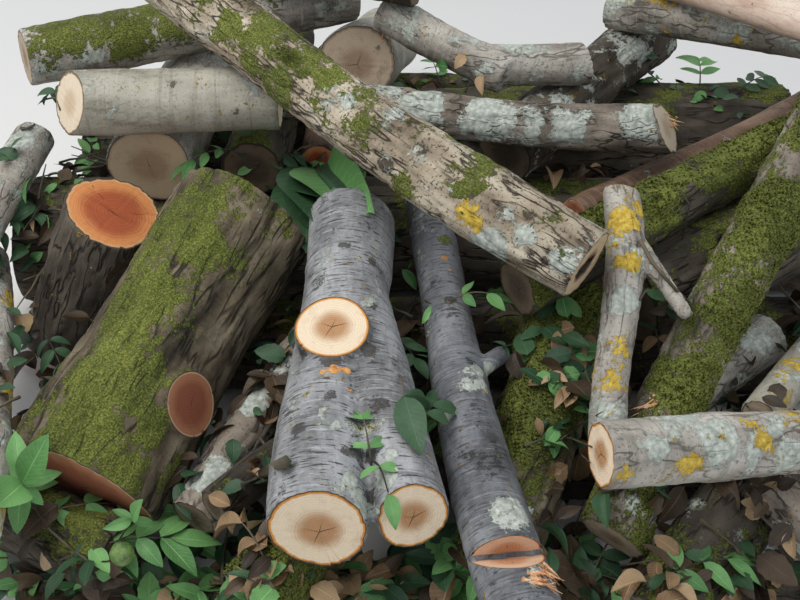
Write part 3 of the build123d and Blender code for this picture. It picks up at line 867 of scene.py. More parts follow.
def hollowRing(work, face, edge, rot, number):
    deeper, size = rot["steps"][number]
    row = []
    for vert in edge:
        direction = vert.co - face["pith"]
        direction = direction - face["normal"] * direction.dot(face["normal"])
        heading = math.atan2(direction.dot(face["upward"]), direction.dot(face["across"]))
        radius = 1 / math.hypot(math.cos(heading) / rot["wide"], math.sin(heading) / rot["high"])
        ragged = 0.10 * math.sin(5 * heading + number) + 0.06 * math.sin(11 * heading + 2.1 * number)
        radius *= size * (1 + ragged)
        place = face["pith"] + direction.normalized() * radius - face["normal"] * deeper
        # Darker from the hollow's rim inwards: painted shade of the hollow, over the rot
        row.append(facePoint(work, face, place, 0.3 * size, min(1, 0.6 + deeper / 0.008)))
    return row


# Closes the opening of a saw cut with rings of faces round the pith, or round a rotten hollow
def sawnFace(work, cut, voxel, layers, rot=None):
    rim = openedRim(work, cut, voxel)
    loops = orderedLoops(rim)
    if not loops:
        return
    loop = max(loops, key=len)
    heart = None
    for other in loops:
        if rot is not None and other is not loop and len(other) > 8:
            heart = middleOf(other)
            bmesh.ops.delete(work, geom=connected(other), context="VERTS")
    for edge in rim:
        if edge.is_valid:
            edge.smooth = False
    face = dict(layers, **{key: Vector(cut[key]) for key in ("normal", "across", "upward")})
    aside = Vector((0.3, 0.2, 0.1)).cross(face["normal"]) * (0.2 * float(cut["reach"]))
    face["pith"] = heart or middleOf(loop) + aside
    for vert in loop:
        markPlace(vert, face, 1.0)
    rows = [loop]
    for share in soundRows if rot is None else hollowRows:
        rows.append(soundRing(work, face, loop, share))
    if rot is not None:
        edge = rows[-1]
        rows += [hollowRing(work, face, edge, rot, number) for number in range(len(rot["steps"]))]
    end = facePoint(work, face, middleOf(rows[-1]), 0.0, None if rot is None else 1.0)
    made = []
    follow = [*range(1, len(loop)), 0]
    for outer, inner in zip(rows[:-1], rows[1:]):
        for one, two in enumerate(follow):
            made.append(work.faces.new((outer[one], outer[two], inner[two], inner[one])))
    for one, two in enumerate(follow):
        made.append(work.faces.new((rows[-1][one], rows[-1][two], end)))
    for side in made:
        side.material_index = 1
    facing = rows[1][0].link_faces[0]
    facing.normal_update()
    if facing.normal.dot(face["normal"]) < 0:
        bmesh.ops.reverse_faces(work, faces=made)


def connected(verts):
    found = set(verts)
    left = list(verts)
    while left:
        for edge in left.pop().link_edges:
            for vert in edge.verts:
                if vert not in found:
                    found.add(vert)
                    left.append(vert)
    return list(found)


def orderedLoops(rim):
    links = {}
    for edge in rim:
        for vert in edge.verts:
            links.setdefault(vert, []).append(edge)
    loops = []
    left = set(rim)
    while left:
        edge = left.pop()
        start, vert = edge.verts
        chain = [start, vert]
        while vert is not start:
            follow = [other for other in links[vert] if other in left]
            if not follow:
                break
            left.discard(follow[0])
            vert = follow[0].other_vert(vert)
            chain.append(vert)
        if chain[-1] is start:
            loops.append(chain[:-1])
    return [chain for chain in loops if len(chain) > 5]


# How much moss, lichen and the rest lies on each point, from 0 to 1
def coverOf(name, look, seed, places, normals, local):
    cover = {}
    patchy = layeredNoise(local, 0.07, seed + 31, 3)
    for number, kind in enumerate(("moss", "lichen", "yellow", "stain", "scrape")):
        level = look.get(kind, 0)
        amount = np.zeros(len(places))
        if level:
            blotches = layeredNoise(local, 0.08 if kind == "moss" else 0.05, seed + 41 + 7 * number, 3)
            upward = (0.55 if kind == "moss" else 0.15) * normals[:, 2]
            amount = np.clip(level - 0.55 + 0.75 * blotches + upward + 0.35, 0, 1)
        spots = spotCover(name, kind, places, local)
        cover[kind] = np.clip(np.maximum(amount, spots * (0.85 + 0.3 * patchy)), 0, 1)
    return cover


# How far the bark stands out from the solid at each point, with what lies on it
def barkHeight(look, seed, local, cover):
    height = barkRelief(local, look["bark"], seed) * barkThickness[look["bark"]]
    crusted = 0.0012 * cover["stain"] * (1 + layeredNoise(local, 0.012, seed + 9, 2))
    mossed = 0.0045 * cover["moss"] * (0.6 + 0.6 * layeredNoise(local, 0.02, seed + 3, 2))
    return height - height.mean() + crusted + mossed


def dressLog(name, look, seed):
    voxel = look.get("voxel", plainVoxel) * 1
    points, triangles = cadShape(name)
    cuts = findCuts(points, triangles)
    own = ownFrame(points, cuts)
    piece = remeshed(name, voxel)
    mesh = piece.data
    count = len(mesh.vertices)
    places, normals = rowsOf(mesh.vertices), rowsOf(mesh.vertices, "normal")
    local = straightened(places, own)
    cover = coverOf(name, look, seed, places, normals, local)
    move = normals * barkHeight(look, seed, local, cover)[:, None]
    for cut in cuts:
        away = places - cut["middle"]
        ahead = away @ cut["normal"]
        onCut = (np.abs(ahead) < 1.6 * voxel) & (np.linalg.norm(away, axis=1) < 1.1 * cut["reach"] + voxel)
        move[onCut] -= (move[onCut] @ cut["normal"])[:, None] * cut["normal"]
    places = places + move
    ring = np.zeros((count, 3))
    owner = np.full(count, -1)
    ends = [cut for cut in cuts if cut["round"] and abs(cut["normal"] @ own["axes"][2]) > 0.8]
    for number, cut in enumerate(cuts):
        if not any(cut is end for end in ends):
            flattened(places, cut, voxel, ring, owner, number)
    mesh.vertices.foreach_set("co", kept(places).ravel())
    addVectors(mesh, "ring", ring)
    for kind, values in cover.items():
        mesh.attributes.new(kind, "FLOAT", "POINT").data.foreach_set("value", values.astype(np.float32))
    shifted = local + np.array([0.37, 0.71, 0.53]) * (seed % 17)
    addVectors(mesh, "grain", shifted)
    work = bmesh.new()
    work.from_mesh(mesh)
    layers = dict(ring=work.verts.layers.float_vector["ring"], rot=work.verts.layers.float.new("rot"))
    for face in work.faces:
        owners = {owner[vert.index] for vert in face.verts}
        face.smooth = True
        if len(owners) == 1 and owners != {-1}:
            face.material_index = 1
    for edge in work.edges:
        edge.smooth = len({face.material_index for face in edge.link_faces}) == 1
    for cut in sorted(ends, key=lambda cut: -cut["area"]):
        front = cut["middle"][1] < own["front"][1] + 0.05
        sawnFace(work, cut, voxel, layers, look.get("rot") if front else None)
    for face in work.faces:
        face.smooth = True
    work.to_mesh(mesh)
    work.free()
    mesh.materials.append(barks[look["bark"]])
    mesh.materials.append(woods[look["wood"]])
    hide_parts(name)
    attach(piece, "root")
    return piece, cuts, own


# A tree that rays are cast into, and the log that each of its faces belongs to
def rayTree(shapes):
    points, faces, owners = [], [], []
    for name, (corners, sides) in shapes.items():
        start = len(points)
        points.extend(corners)
        faces.extend([start + number for number in side] for side in sides)
        owners.extend([name] * len(sides))
    return BVHTree.FromPolygons(points, faces), owners


def sight(tree, pixel):
    return tree.ray_cast(cameraSpot(), throughPixel(pixel))


def markSpots():
    shapes = {name: [rows.tolist() for rows in cadShape(name)] for name in sorted(frame["nodes"])}
    tree, owners = rayTree(shapes)
    marked = []
    for kind, spots in seenSpots.items():
        for across, down, reach in spots:
            place, _, number, _ = sight(tree, (across, down))
            if place is not None:
                marked.append((kind, reach, np.array(place), owners[number]))
    return marked


markedSpots = markSpots()
print("spots found:", len(markedSpots))

logs = {}
for seed, name in enumerate(sorted(frame["nodes"])):
    look = logLooks.get(name, shadedGroundLook)
    logs[name] = dressLog(name, look, 100 + 13 * seed)
total = sum(len(piece.data.polygons) for piece, _, _ in logs.values())
print("logs dressed:", len(logs), "faces:", total)

heap, heapOwners = rayTree({name: ([vert.co.copy() for vert in piece.data.vertices],
                                   [tuple(face.vertices) for face in piece.data.polygons])
                            for name, (piece, _, _) in logs.items()})


def logAt(pixel):
    number = sight(heap, pixel)[2]
    return None if number is None else heapOwners[number]


# Where the line of sight through a pixel meets the heap, a little above the bark, or the floor
def landing(pixel, lift=0.0):
    ray = throughPixel(pixel)
    place, normal, _, _ = sight(heap, pixel)
    if place is None:
        place = cameraSpot() + ray * (cameraSpot().z / -ray.z)
        normal = Vector((0, 0, 1))
    return place - ray * lift, normal


# Leaves, twigs and moss. Leaves and moss tufts are set out by one tree that puts a piece on every point

def scatterTree():
    tree = bpy.data.node_groups.new("scatter", "GeometryNodeTree")
    sockets = dict(Points="NodeSocketGeometry", Piece="NodeSocketObject", Finish="NodeSocketMaterial")
    for name, kind in sockets.items():
        tree.interface.new_socket(name, in_out="INPUT", socket_type=kind)
    tree.interface.new_socket("Geometry", in_out="OUTPUT", socket_type="NodeSocketGeometry")
    given = tree.nodes.new("NodeGroupInput")
    result = tree.nodes.new("NodeGroupOutput")
    piece = tree.nodes.new("GeometryNodeObjectInfo")
    tree.links.new(given.outputs["Piece"], piece.inputs["Object"])
    turn = addNode(tree, "GeometryNodeInputNamedAttribute", {"Name": "turn"}, data_type="FLOAT_VECTOR")
    grow = addNode(tree, "GeometryNodeInputNamedAttribute", {"Name": "grow"}, data_type="FLOAT_VECTOR")
    spread = addNode(tree, "GeometryNodeInstanceOnPoints", {
        "Points": given.outputs["Points"], "Instance": piece.outputs["Geometry"],
        "Rotation": turn.outputs["Attribute"], "Scale": grow.outputs["Attribute"]})
    real = addNode(tree, "GeometryNodeRealizeInstances", {"Geometry": spread.outputs[0]})
    finish = addNode(tree, "GeometryNodeSetMaterial", {
        "Geometry": real.outputs[0], "Material": given.outputs["Finish"]})
    tree.links.new(finish.outputs[0], result.inputs[0])
    return tree


scatter = scatterTree()


# Each spot is (place, turn as three angles, size as three factors, shade from 0 to 1)
def scattered(name, source, spots, material):
    mesh = bpy.data.meshes.new(name)
    mesh.from_pydata([tuple(spot[0]) for spot in spots], [], [])
    for key, column in (("turn", 1), ("grow", 2)):
        addVectors(mesh, key, [tuple(spot[column]) for spot in spots])
    shades = np.array([spot[3] for spot in spots], dtype=np.float32)
    mesh.attributes.new("shade", "FLOAT", "POINT").data.foreach_set("value", shades)
    piece = addPiece(name, mesh)
    modifier = piece.modifiers.new("scatter", "NODES")
    modifier.node_group = scatter
    keys = {item.name: item.identifier for item in scatter.interface.items_tree if item.in_out == "INPUT"}
    modifier[keys["Piece"]] = source
    modifier[keys["Finish"]] = material
    graph = bpy.context.evaluated_depsgraph_get()
    real = bpy.data.meshes.new_from_object(piece.evaluated_get(graph))
    piece.modifiers.clear()
    piece.data = real
    bpy.data.meshes.remove(mesh)
    if not real.materials:
        real.materials.append(material)
    real.vertices.foreach_set("co", kept(rowsOf(real.vertices)).ravel())
    smooth(real)
    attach(piece, "root")
    return piece


def sourceObject(name, points, faces, marks=None):
    mesh = bpy.data.meshes.new(name)
    mesh.from_pydata(points, [], faces)
    if marks is not None:
        addVectors(mesh, "blade", marks)
    return bpy.data.objects.new(name, mesh)


# A leaf blade lies along +Y with its face up, is folded a little along its rib and curls to its tip
def leafSource(name, width, fold, curl, twist, teeth=0.0, rows=9, widest=0.42):
    points, faces, marks = [], [], []
    for row in range(rows + 1):
        along = row / rows
        half = width / 2 * math.sin(math.pi * along ** (math.log(0.5) / math.log(widest))) ** 0.8
        half = max(half, 0.002) * (1 + teeth * (-1) ** row)
        sink = -curl * along ** 2
        for side in (-1, -0.5, 0, 0.5, 1):
            lift = fold * abs(side) * half + twist * side * half * along
            ripple = 0.04 * width * math.sin(7 * along + 2 * side) * abs(side)
            points.append((side * half, along - 0.25 * curl * along ** 2, sink + lift + ripple))
            marks.append((side, along, half))
    for row in range(rows):
        for column in range(4):
            start = 5 * row + column
            faces.append((start, start + 1, start + 6, start + 5))
    return sourceObject(name, points, faces, marks)


leafTones = dict(
    fresh=((0.055, 0.16, 0.050), (0.18, 0.39, 0.13)),
    shaded=((0.015, 0.048, 0.022), (0.050, 0.115, 0.050)),
    dry=((0.17, 0.095, 0.045), (0.42, 0.29, 0.16)),
    litter=((0.020, 0.013, 0.008), (0.085, 0.055, 0.030)),
)


def leafMaterial(name, tones):
    material, tree, surface = newMaterial(name)
    blade = addNode(tree, "ShaderNodeSeparateXYZ", {0: attribute(tree, "blade", "Vector")})
    side, along = blade.outputs[0], blade.outputs[1]
    dark, light = tones
    place = objectPlace(tree)
    mottle = cloud(tree, place, 60, detail=2)
    shade = calc(tree, "MULTIPLY_ADD", minus(tree, mottle, 0.5), 0.7, attribute(tree, "shade"),
                 clamp=True)
    colour = blend(tree, shade, dark, light)
    slanted = minus(tree, along, times(tree, calc(tree, "ABSOLUTE", side), 0.22))
    veins = calc(tree, "SINE", times(tree, slanted, 70.0))
    rib = minus(tree, 1.0, slope(tree, calc(tree, "ABSOLUTE", side), 0.0, 0.09))
    line = calc(tree, "MAXIMUM", rib, times(tree, slope(tree, veins, 0.86, 1.0), 0.45))
    colour = blend(tree, times(tree, line, 0.4), colour, scaled(light, 2.1))
    dressSurface(tree, surface, colour, 0.5, 0.35, [(line, -0.0006), (mottle, 0.001)])
    return material


leafFinish = {name: leafMaterial("leaf_" + name, tones) for name, tones in leafTones.items()}
leafSources = [leafSource("leafletFlat", 0.44, 0.25, 0.10, 0.05),
               leafSource("leafletBent", 0.40, 0.45, 0.32, -0.15),
               leafSource("leafBroad", 0.62, 0.15, 0.18, 0.12, 0.05, widest=0.38),
               leafSource("leafRolled", 0.52, 0.95, 0.45, 0.4, widest=0.45)]
chance = np.random.default_rng(11)


# The three angles that lay a blade's length and face along two directions
def bladeTurn(length, face):
    length = Vector(length).normalized()
    across = length.cross(Vector(face)).normalized()
    face = across.cross(length)
    turned = np.array([across, length, face]).T
    flat = math.hypot(turned[0, 0], turned[1, 0])
    return (math.atan2(turned[2, 1], turned[2, 2]), math.atan2(-turned[2, 0], flat),
            math.atan2(turned[1, 0], turned[0, 0]))


def boxed(place, margin):
    sides = zip(cadBounds[0], place, cadBounds[1])
    return all(low + margin < part < high - margin for low, part, high in sides)


# A leaf this low and this far from every log would lie alone on the bare floor. Lengths are in metres.
strays = dict(low=0.05, alone=0.12)


# Collects leaves by kind and finish, and their stems. Strays and what would leave the object's box stay out.
class Greens:
    def __init__(self):
        self.leaves = {}
        self.stems = []

    def leaf(self, finish, number, place, length, face, size, shade):
        if not (boxed(place, 0.006) and boxed(place + length.normalized() * size, 0.008)):
            return
        if place.z < strays["low"] and heap.find_nearest(place)[3] > strays["alone"]:
            return
        spot = (place, bladeTurn(length, face), (size, size, size), shade)
        self.leaves.setdefault((finish, number), []).append(spot)

    def stem(self, points, thick, thin):
        if all(boxed(point, 0.006) for point in points):
            self.stems.append((points, thick, thin))

    def sprig(self, base, heading, reach, pairs, size, finish, rise=0.3, droop=0.5, number=0):
        heading = math.radians(heading)
        out = Vector((math.cos(heading), math.sin(heading), 0))
        aside = Vector((-out.y, out.x, 0))

        def along(share):
            return base + out * reach * share + Vector((0, 0, reach * (rise * share - droop * share ** 2)))

        path = [along(share) for share in (0, 0.2, 0.4, 0.6, 0.8, 1.0)]
        self.stem(path, 0.0022, 0.0011)
        for pair in range(pairs):
            share = 0.3 + 0.62 * pair / max(1, pairs - 1)
            place = along(share)
            tangent = out + Vector((0, 0, rise - 2 * droop * share))
            for hand in (-1, 1):
                length = tangent * (0.35 + 0.5 * share) + aside * hand
                length = length + Vector((0, 0, chance.uniform(-0.45, 0.15)))
                face = Vector((0.35 * chance.normal(), 0.35 * chance.normal(), 1)) - out * 0.2
                grown = size * (0.72 + 0.4 * share) * chance.uniform(0.85, 1.12)
                self.leaf(finish, number, place, length, face, grown, chance.uniform(0.25, 1))
        end = out + Vector((0, 0, rise - 2 * droop))
        self.leaf(finish, number, path[-1], end, (0.1, 0.1, 1), size * 1.15, chance.uniform(0.4, 1))


greens = Greens()

# Sprigs and leaves that the photograph shows, by the pixel where each starts
# (pixel, heading, reach, pairs of leaflets, leaflet length, finish, rise, droop)
sprigSpots = (
    ((14, 505), 75, 0.12, 3, 0.084, "fresh", 0.5, 0.5),
    ((30, 520), 20, 0.16, 3, 0.077, "fresh", 0.35, 0.5),
    ((60, 560), 10, 0.19, 4, 0.084, "fresh", 0.5, 0.4),
    ((150, 590), 345, 0.19, 4, 0.090, "fresh", 0.6, 0.5),
    ((110, 560), 60, 0.12, 3, 0.070, "fresh", 0.6, 0.5),
    ((170, 560), 35, 0.15, 3, 0.077, "fresh", 0.5, 0.4),
    ((225, 560), 160, 0.14, 3, 0.077, "shaded", 0.6, 0.5),
    ((225, 590), 70, 0.12, 3, 0.077, "shaded", 0.6, 0.5),
    ((312, 146), 215, 0.14, 3, 0.070, "shaded", 0.5, 1.5),
    ((326, 154), 250, 0.13, 3, 0.068, "fresh", 0.5, 1.6),
    ((342, 166), 290, 0.10, 2, 0.058, "fresh", 0.4, 1.4),
    ((300, 140), 235, 0.12, 2, 0.060, "shaded", 0.4, 1.6),
    ((372, 470), 100, 0.09, 2, 0.056, "fresh", 1.0, 0.7),
    ((375, 462), 290, 0.06, 1, 0.053, "fresh", 0.8, 0.9),
    ((420, 425), 70, 0.10, 3, 0.075, "shaded", 0.1, 0.5),
    ((428, 380), 280, 0.12, 3, 0.060, "shaded", 0.6, 0.6),
    ((425, 300), 300, 0.11, 3, 0.054, "fresh", 0.4, 0.6),
    ((452, 300), 0, 0.07, 2, 0.050, "fresh", 0.8, 0.6),
    ((410, 335), 240, 0.11, 3, 0.054, "shaded", 0.4, 0.6),
    ((458, 562), 320, 0.12, 3, 0.070, "fresh", 0.3, 0.5),
    ((470, 575), 320, 0.15, 3, 0.081, "fresh", 0.6, 0.5),
    ((440, 592), 15, 0.12, 3, 0.070, "shaded", 0.3, 0.5),
    ((560, 560), 30, 0.15, 3, 0.077, "fresh", 0.5, 0.5),
    ((590, 580), 60, 0.15, 3, 0.073, "shaded", 0.5, 0.5),
    ((560, 335), 330, 0.12, 2, 0.072, "dry", 0.2, 0.9),
    ((575, 330), 280, 0.12, 3, 0.066, "shaded", 0.2, 0.9),
    ((590, 350), 260, 0.14, 3, 0.072, "dry", 0.1, 1.0),
    ((520, 345), 200, 0.10, 2, 0.054, "shaded", 0.4, 0.6),
    ((650, 585), 20, 0.15, 3, 0.070, "fresh", 0.5, 0.5),
    ((700, 85), 80, 0.12, 3, 0.066, "fresh", 0.5, 0.4),
    ((665, 90), 120, 0.12, 3, 0.060, "fresh", 0.5, 0.4),
    ((735, 95), 40, 0.12, 3, 0.054, "shaded", 0.5, 0.4),
    ((440, 85), 100, 0.11, 3, 0.048, "fresh", 0.6, 0.4),
    ((465, 92), 60, 0.12, 3, 0.050, "fresh", 0.6, 0.4),
    ((410, 60), 120, 0.10, 3, 0.054, "shaded", 0.6, 0.4),
    ((50, 150), 200, 0.12, 3, 0.062, "fresh", 0.4, 0.5),
    ((60, 110), 110, 0.12, 3, 0.062, "shaded", 0.4, 0.5),
    ((88, 165), 20, 0.11, 3, 0.060, "shaded", 0.4, 0.5),
    ((20, 215), 250, 0.12, 3, 0.060, "shaded", 0.4, 0.5),
    ((45, 335), 300, 0.12, 3, 0.054, "shaded", 0.5, 0.5),
    ((30, 380), 320, 0.12, 3, 0.054, "shaded", 0.5, 0.5),
    ((255, 165), 30, 0.10, 3, 0.054, "shaded", 0.4, 0.5),
    ((235, 150), 200, 0.10, 3, 0.054, "fresh", 0.4, 0.5),
    ((750, 585), 150, 0.12, 3, 0.063, "dry", 0.5, 0.5),
    ((780, 560), 60, 0.12, 2, 0.070, "dry", 0.5, 0.5),
    ((345, 596), 340, 0.09, 2, 0.070, "dry", 0.1, 0.5),
    ((318, 592), 200, 0.09, 2, 0.070, "dry", 0.1, 0.5),
    ((392, 575), 280, 0.09, 2, 0.070, "dry", 0.2, 0.6),
    ((265, 560), 120, 0.10, 2, 0.063, "dry", 0.5, 0.6),
    ((655, 330), 270, 0.09, 2, 0.054, "dry", 0.3, 0.8),
    ((640, 300), 60, 0.09, 2, 0.048, "shaded", 0.3, 0.8),
)
for pixel, heading, reach, pairs, size, finish, rise, droop in sprigSpots:
    place, normal = landing(pixel, 0.006)
    number = 3 if finish == "dry" else int(chance.integers(0, 2))
    greens.sprig(place, heading, reach, pairs, size, finish, rise, droop, number)


# Clusters of leaves that hang before the logs: the pixels of the stalk, of each leaf's tip and of what they
# hang from, and how far they stay before what lies behind them, in metres
clusters = (
    dict(finish="shaded", stalk=(314, 168), hangs=(326, 152), lift=0.025,
         tips=((290, 202), (300, 236), (322, 212), (284, 178), (346, 192), (310, 206), (336, 214))),
    dict(finish="fresh", stalk=(322, 172), hangs=(334, 160), lift=0.035,
         tips=((336, 190), (352, 206), (306, 190))),
    dict(finish="fresh", stalk=(22, 484), hangs=(30, 540), lift=0.06,
         tips=((12, 426), (46, 436), (62, 470), (44, 506), (16, 536), (2, 500))),
    dict(finish="fresh", stalk=(132, 520), hangs=(110, 560), lift=0.05,
         tips=((112, 506), (140, 500), (158, 524), (104, 530))),
    dict(finish="shaded", stalk=(404, 396), hangs=(400, 375), lift=0.03,
         tips=((440, 420), (420, 452), (436, 398))),
)


def before(pixel, lift, most):
    away = (landing(pixel)[0] - cameraSpot()).length
    return cameraSpot() + throughPixel(pixel) * (min(away, most) - lift)


for cluster in clusters:
    most = (landing(cluster["hangs"])[0] - cameraSpot()).length
    base = before(cluster["stalk"], cluster["lift"], most)
    root = before(cluster["hangs"], 0.0, most)
    greens.stem([root, (root + base) / 2 + Vector((0, 0, 0.006)), base], 0.0022, 0.0014)
    for tip in cluster["tips"]:
        length = before(tip, cluster["lift"], most) - base
        face = cameraSpot() - base + Vector(chance.normal(0, 0.5, 3)) + Vector((0, 0, 0.8))
        number = int(chance.integers(0, 2))
        greens.leaf(cluster["finish"], number, base, length, face, length.length, chance.uniform(0.3, 1))


# Leaves that lie in the gaps between the logs: pixel, spread in pixels, number, leaf length and finishes
clearLogs = ("twin_stem", "slender_stem", "mossy_trunk", "right_log", "hollow_log", "grey_stub",
             "orange_stump", "tan_log", "yellow_branch", "lichen_log", "right_mossy")
drifts = (
    ((60, 585), (55, 16), 90, 0.060, ("shaded", "fresh", "litter")),
    ((175, 585), (50, 14), 90, 0.060, ("shaded", "fresh", "litter", "dry")),
    ((262, 540), (16, 30), 40, 0.050, ("dry", "shaded", "litter")),
    ((360, 585), (35, 12), 50, 0.065, ("dry", "dry", "shaded")),
    ((430, 570), (30, 22), 70, 0.065, ("fresh", "shaded", "shaded", "litter")),
    ((415, 400), (12, 70), 60, 0.055, ("shaded", "fresh", "litter")),
    ((575, 360), (18, 40), 45, 0.055, ("dry", "shaded", "fresh")),
    ((575, 565), (26, 22), 55, 0.055, ("fresh", "shaded", "litter")),
    ((700, 580), (60, 16), 60, 0.050, ("dry", "litter", "shaded")),
    ((60, 190), (38, 60), 60, 0.050, ("shaded", "fresh", "litter")),
    ((30, 370), (26, 45), 50, 0.050, ("shaded", "litter")),
    ((240, 150), (16, 14), 14, 0.045, ("fresh", "shaded")),
    ((288, 196), (9, 12), 16, 0.055, ("shaded", "fresh", "shaded")),
    ((20, 130), (16, 50), 50, 0.055, ("shaded", "fresh", "litter")),
    ((85, 140), (10, 14), 10, 0.045, ("fresh", "shaded")),
    ((560, 400), (12, 30), 16, 0.045, ("dry", "shaded", "fresh")),
    ((735, 400), (30, 12), 14, 0.045, ("shaded", "litter")),
    ((435, 75), (40, 16), 22, 0.040, ("fresh", "shaded", "dry")),
    ((700, 80), (45, 22), 30, 0.045, ("fresh", "shaded")),
    ((265, 400), (14, 50), 35, 0.045, ("dry", "litter", "shaded")),
    ((660, 310), (26, 40), 26, 0.045, ("shaded", "dry", "litter")),
    ((760, 500), (30, 40), 26, 0.045, ("shaded", "dry", "litter")),
)
for pixel, spread, count, size, finishes in drifts:
    for _ in range(count):
        spot = (pixel[0] + chance.normal() * spread[0], pixel[1] + chance.normal() * spread[1])
        place, normal = landing(spot, chance.uniform(0.004, 0.03))
        if logAt(spot) in clearLogs or place.z > 0.34 and chance.uniform() < 0.75:
            continue
        turn = chance.uniform(0, 2 * math.pi)
        length = Vector((math.cos(turn), math.sin(turn), chance.normal() * 0.4))
        face = normal * 0.6 + Vector((0.4 * chance.normal(), 0.4 * chance.normal() - 0.2, 0.8))
        finish = str(chance.choice(finishes))
        number = 3 if finish == "dry" and chance.uniform() < 0.6 else int(chance.choice([0, 1, 2]))
        grown = size * chance.uniform(0.75, 1.3)
        greens.leaf(finish, number, place, length, face, grown, chance.uniform(0, 1))

# Open places in the heap, seen from above: the ray down ends low and there are logs round about
litter = dict(
    tries=5200, low=0.30, around=0.10, spread=(1.12, 1.03), finishes=("litter", "dry", "shaded"),
    shares=(0.62, 0.1, 0.28), size=(0.045, 0.085), sprigEvery=26, twigEvery=9)


def openSpots():
    found = []
    for _ in range(litter["tries"] // (1)):
        across = chance.uniform(-litter["spread"][0], litter["spread"][0])
        deep = chance.uniform(-litter["spread"][1], litter["spread"][1])
        place, normal, _, _ = heap.ray_cast(Vector((across, deep, 2)), Vector((0, 0, -1)))
        height = place.z if place else 0.0
        if height > litter["low"]:
            continue
        higher = 0
        for number in range(8):
            turn = number * math.pi / 4
            beside = Vector((across + litter["around"] * math.cos(turn),
                             deep + litter["around"] * math.sin(turn), 2))
            other = heap.ray_cast(beside, Vector((0, 0, -1)))[0]
            higher += other is not None and other.z > height + 0.03
        if higher >= 5:
            found.append((Vector((across, deep, height)), normal or Vector((0, 0, 1))))
    return found


openPlaces = openSpots()
for place, normal in openPlaces:
    lean = Vector((chance.normal(), chance.normal(), 0)) * 0.45
    finish = chance.choice(litter["finishes"], p=litter["shares"])
    turn = chance.uniform(0, 2 * math.pi)
    length = Vector((math.cos(turn), math.sin(turn), chance.normal() * 0.35))
    lifted = place + normal * chance.uniform(0.004, 0.03)
    number, size = int(chance.choice([2, 3, 1])), chance.uniform(*litter["size"])
    greens.leaf(str(finish), number, lifted, length, normal + lean, size, chance.uniform(0, 1))
for place, normal in openPlaces[::litter["sprigEvery"]]:
    greens.sprig(place + Vector((0, 0, 0.02)), chance.uniform(0, 360), 0.11, 3, 0.05, "shaded", 0.9, 0.5, 0)
for place, normal in openPlaces[::litter["twigEvery"]]:
    turn = chance.uniform(0, 2 * math.pi)
    reach = chance.uniform(0.06, 0.17)
    out = Vector((math.cos(turn), math.sin(turn), chance.uniform(-0.1, 0.35)))
    bend = Vector((-out.y, out.x, 0)) * chance.normal() * 0.12
    start = place + Vector((0, 0, chance.uniform(0.01, 0.05)))
    path = [start + (out * share + bend * share ** 2 + Vector((0, 0, 0.02 * math.sin(9 * share)))) * reach
            for share in (0, 0.25, 0.5, 0.75, 1)]
    greens.stem(path, chance.uniform(0.002, 0.0045), 0.0012)


# Bare twigs by the pixels they pass through: lift over what lies behind in metres, thickness at both ends
twigSpots = (
    (((285, 462), (262, 474), (243, 487)), 0.03, 0.011, 0.008),
    (((525, 446), (548, 437), (572, 438), (592, 447)), 0.03, 0.0028, 0.0014),
    (((525, 452), (552, 447), (578, 452), (590, 462)), 0.025, 0.0022, 0.0012),
    (((560, 440), (580, 425), (602, 412)), 0.03, 0.002, 0.001),
    (((560, 575), (590, 572), (620, 580), (650, 590)), 0.02, 0.004, 0.002),
    (((590, 590), (620, 566), (655, 560)), 0.02, 0.003, 0.0015),
    (((700, 520), (735, 545), (762, 590)), 0.02, 0.004, 0.002),
    (((20, 500), (35, 508), (50, 530), (75, 552)), 0.03, 0.0025, 0.002),
    (((75, 552), (110, 575), (150, 585), (200, 592)), 0.03, 0.0025, 0.002),
    (((640, 240), (652, 262), (676, 290), (688, 302)), 0.01, 0.004, 0.003),
    (((520, 40), (532, 28), (540, 5)), 0.02, 0.004, 0.002),
    (((680, 190), (690, 205), (682, 240)), 0.012, 0.002, 0.0015),
)
for path, lift, thick, thin in twigSpots:
    greens.stem([landing(pixel, lift)[0] for pixel in path], thick, thin)


# Finishes of twigs, torn wood and husk: tones by noise, and flecks over some of them
plainLooks = dict(
    twig=dict(scale=9, rough=0.7,
              tones=((0.35, (0.022, 0.016, 0.011)), (0.5, (0.06, 0.055, 0.03)), (0.68, (0.15, 0.11, 0.07)))),
    splinter=dict(scale=90, rough=0.75, fleck=dict(scale=600, low=0.5, colour=(0.40, 0.18, 0.08)),
                  tones=((0.35, (0.50, 0.20, 0.07)), (0.5, (0.74, 0.42, 0.22)), (0.66, (0.84, 0.64, 0.44)))),
    walnutHusk=dict(scale=60, rough=0.45, fleck=dict(scale=700, low=0.62, colour=(0.35, 0.42, 0.18)),
                    tones=((0.35, (0.05, 0.11, 0.025)), (0.6, (0.16, 0.27, 0.07)))),
)


def plainMaterial(name):
    look = plainLooks[name]
    material, tree, surface = newMaterial(name)
    place = objectPlace(tree)
    colour = grade(tree, cloud(tree, place, look["scale"], detail=3), look["tones"])
    heights = []
    if "fleck" in look:
        fleck = cloud(tree, place, look["fleck"]["scale"], detail=1)
        colour = blend(tree, slope(tree, fleck, look["fleck"]["low"], 0.7), colour, look["fleck"]["colour"])
        heights.append((fleck, 0.0004))
    dressSurface(tree, surface, colour, look["rough"], heights=heights)
    return material


# The green walnut in its husk
fruit = dict(pixel=(122, 554), twig=(112, 576), radius=0.020, lift=0.085)


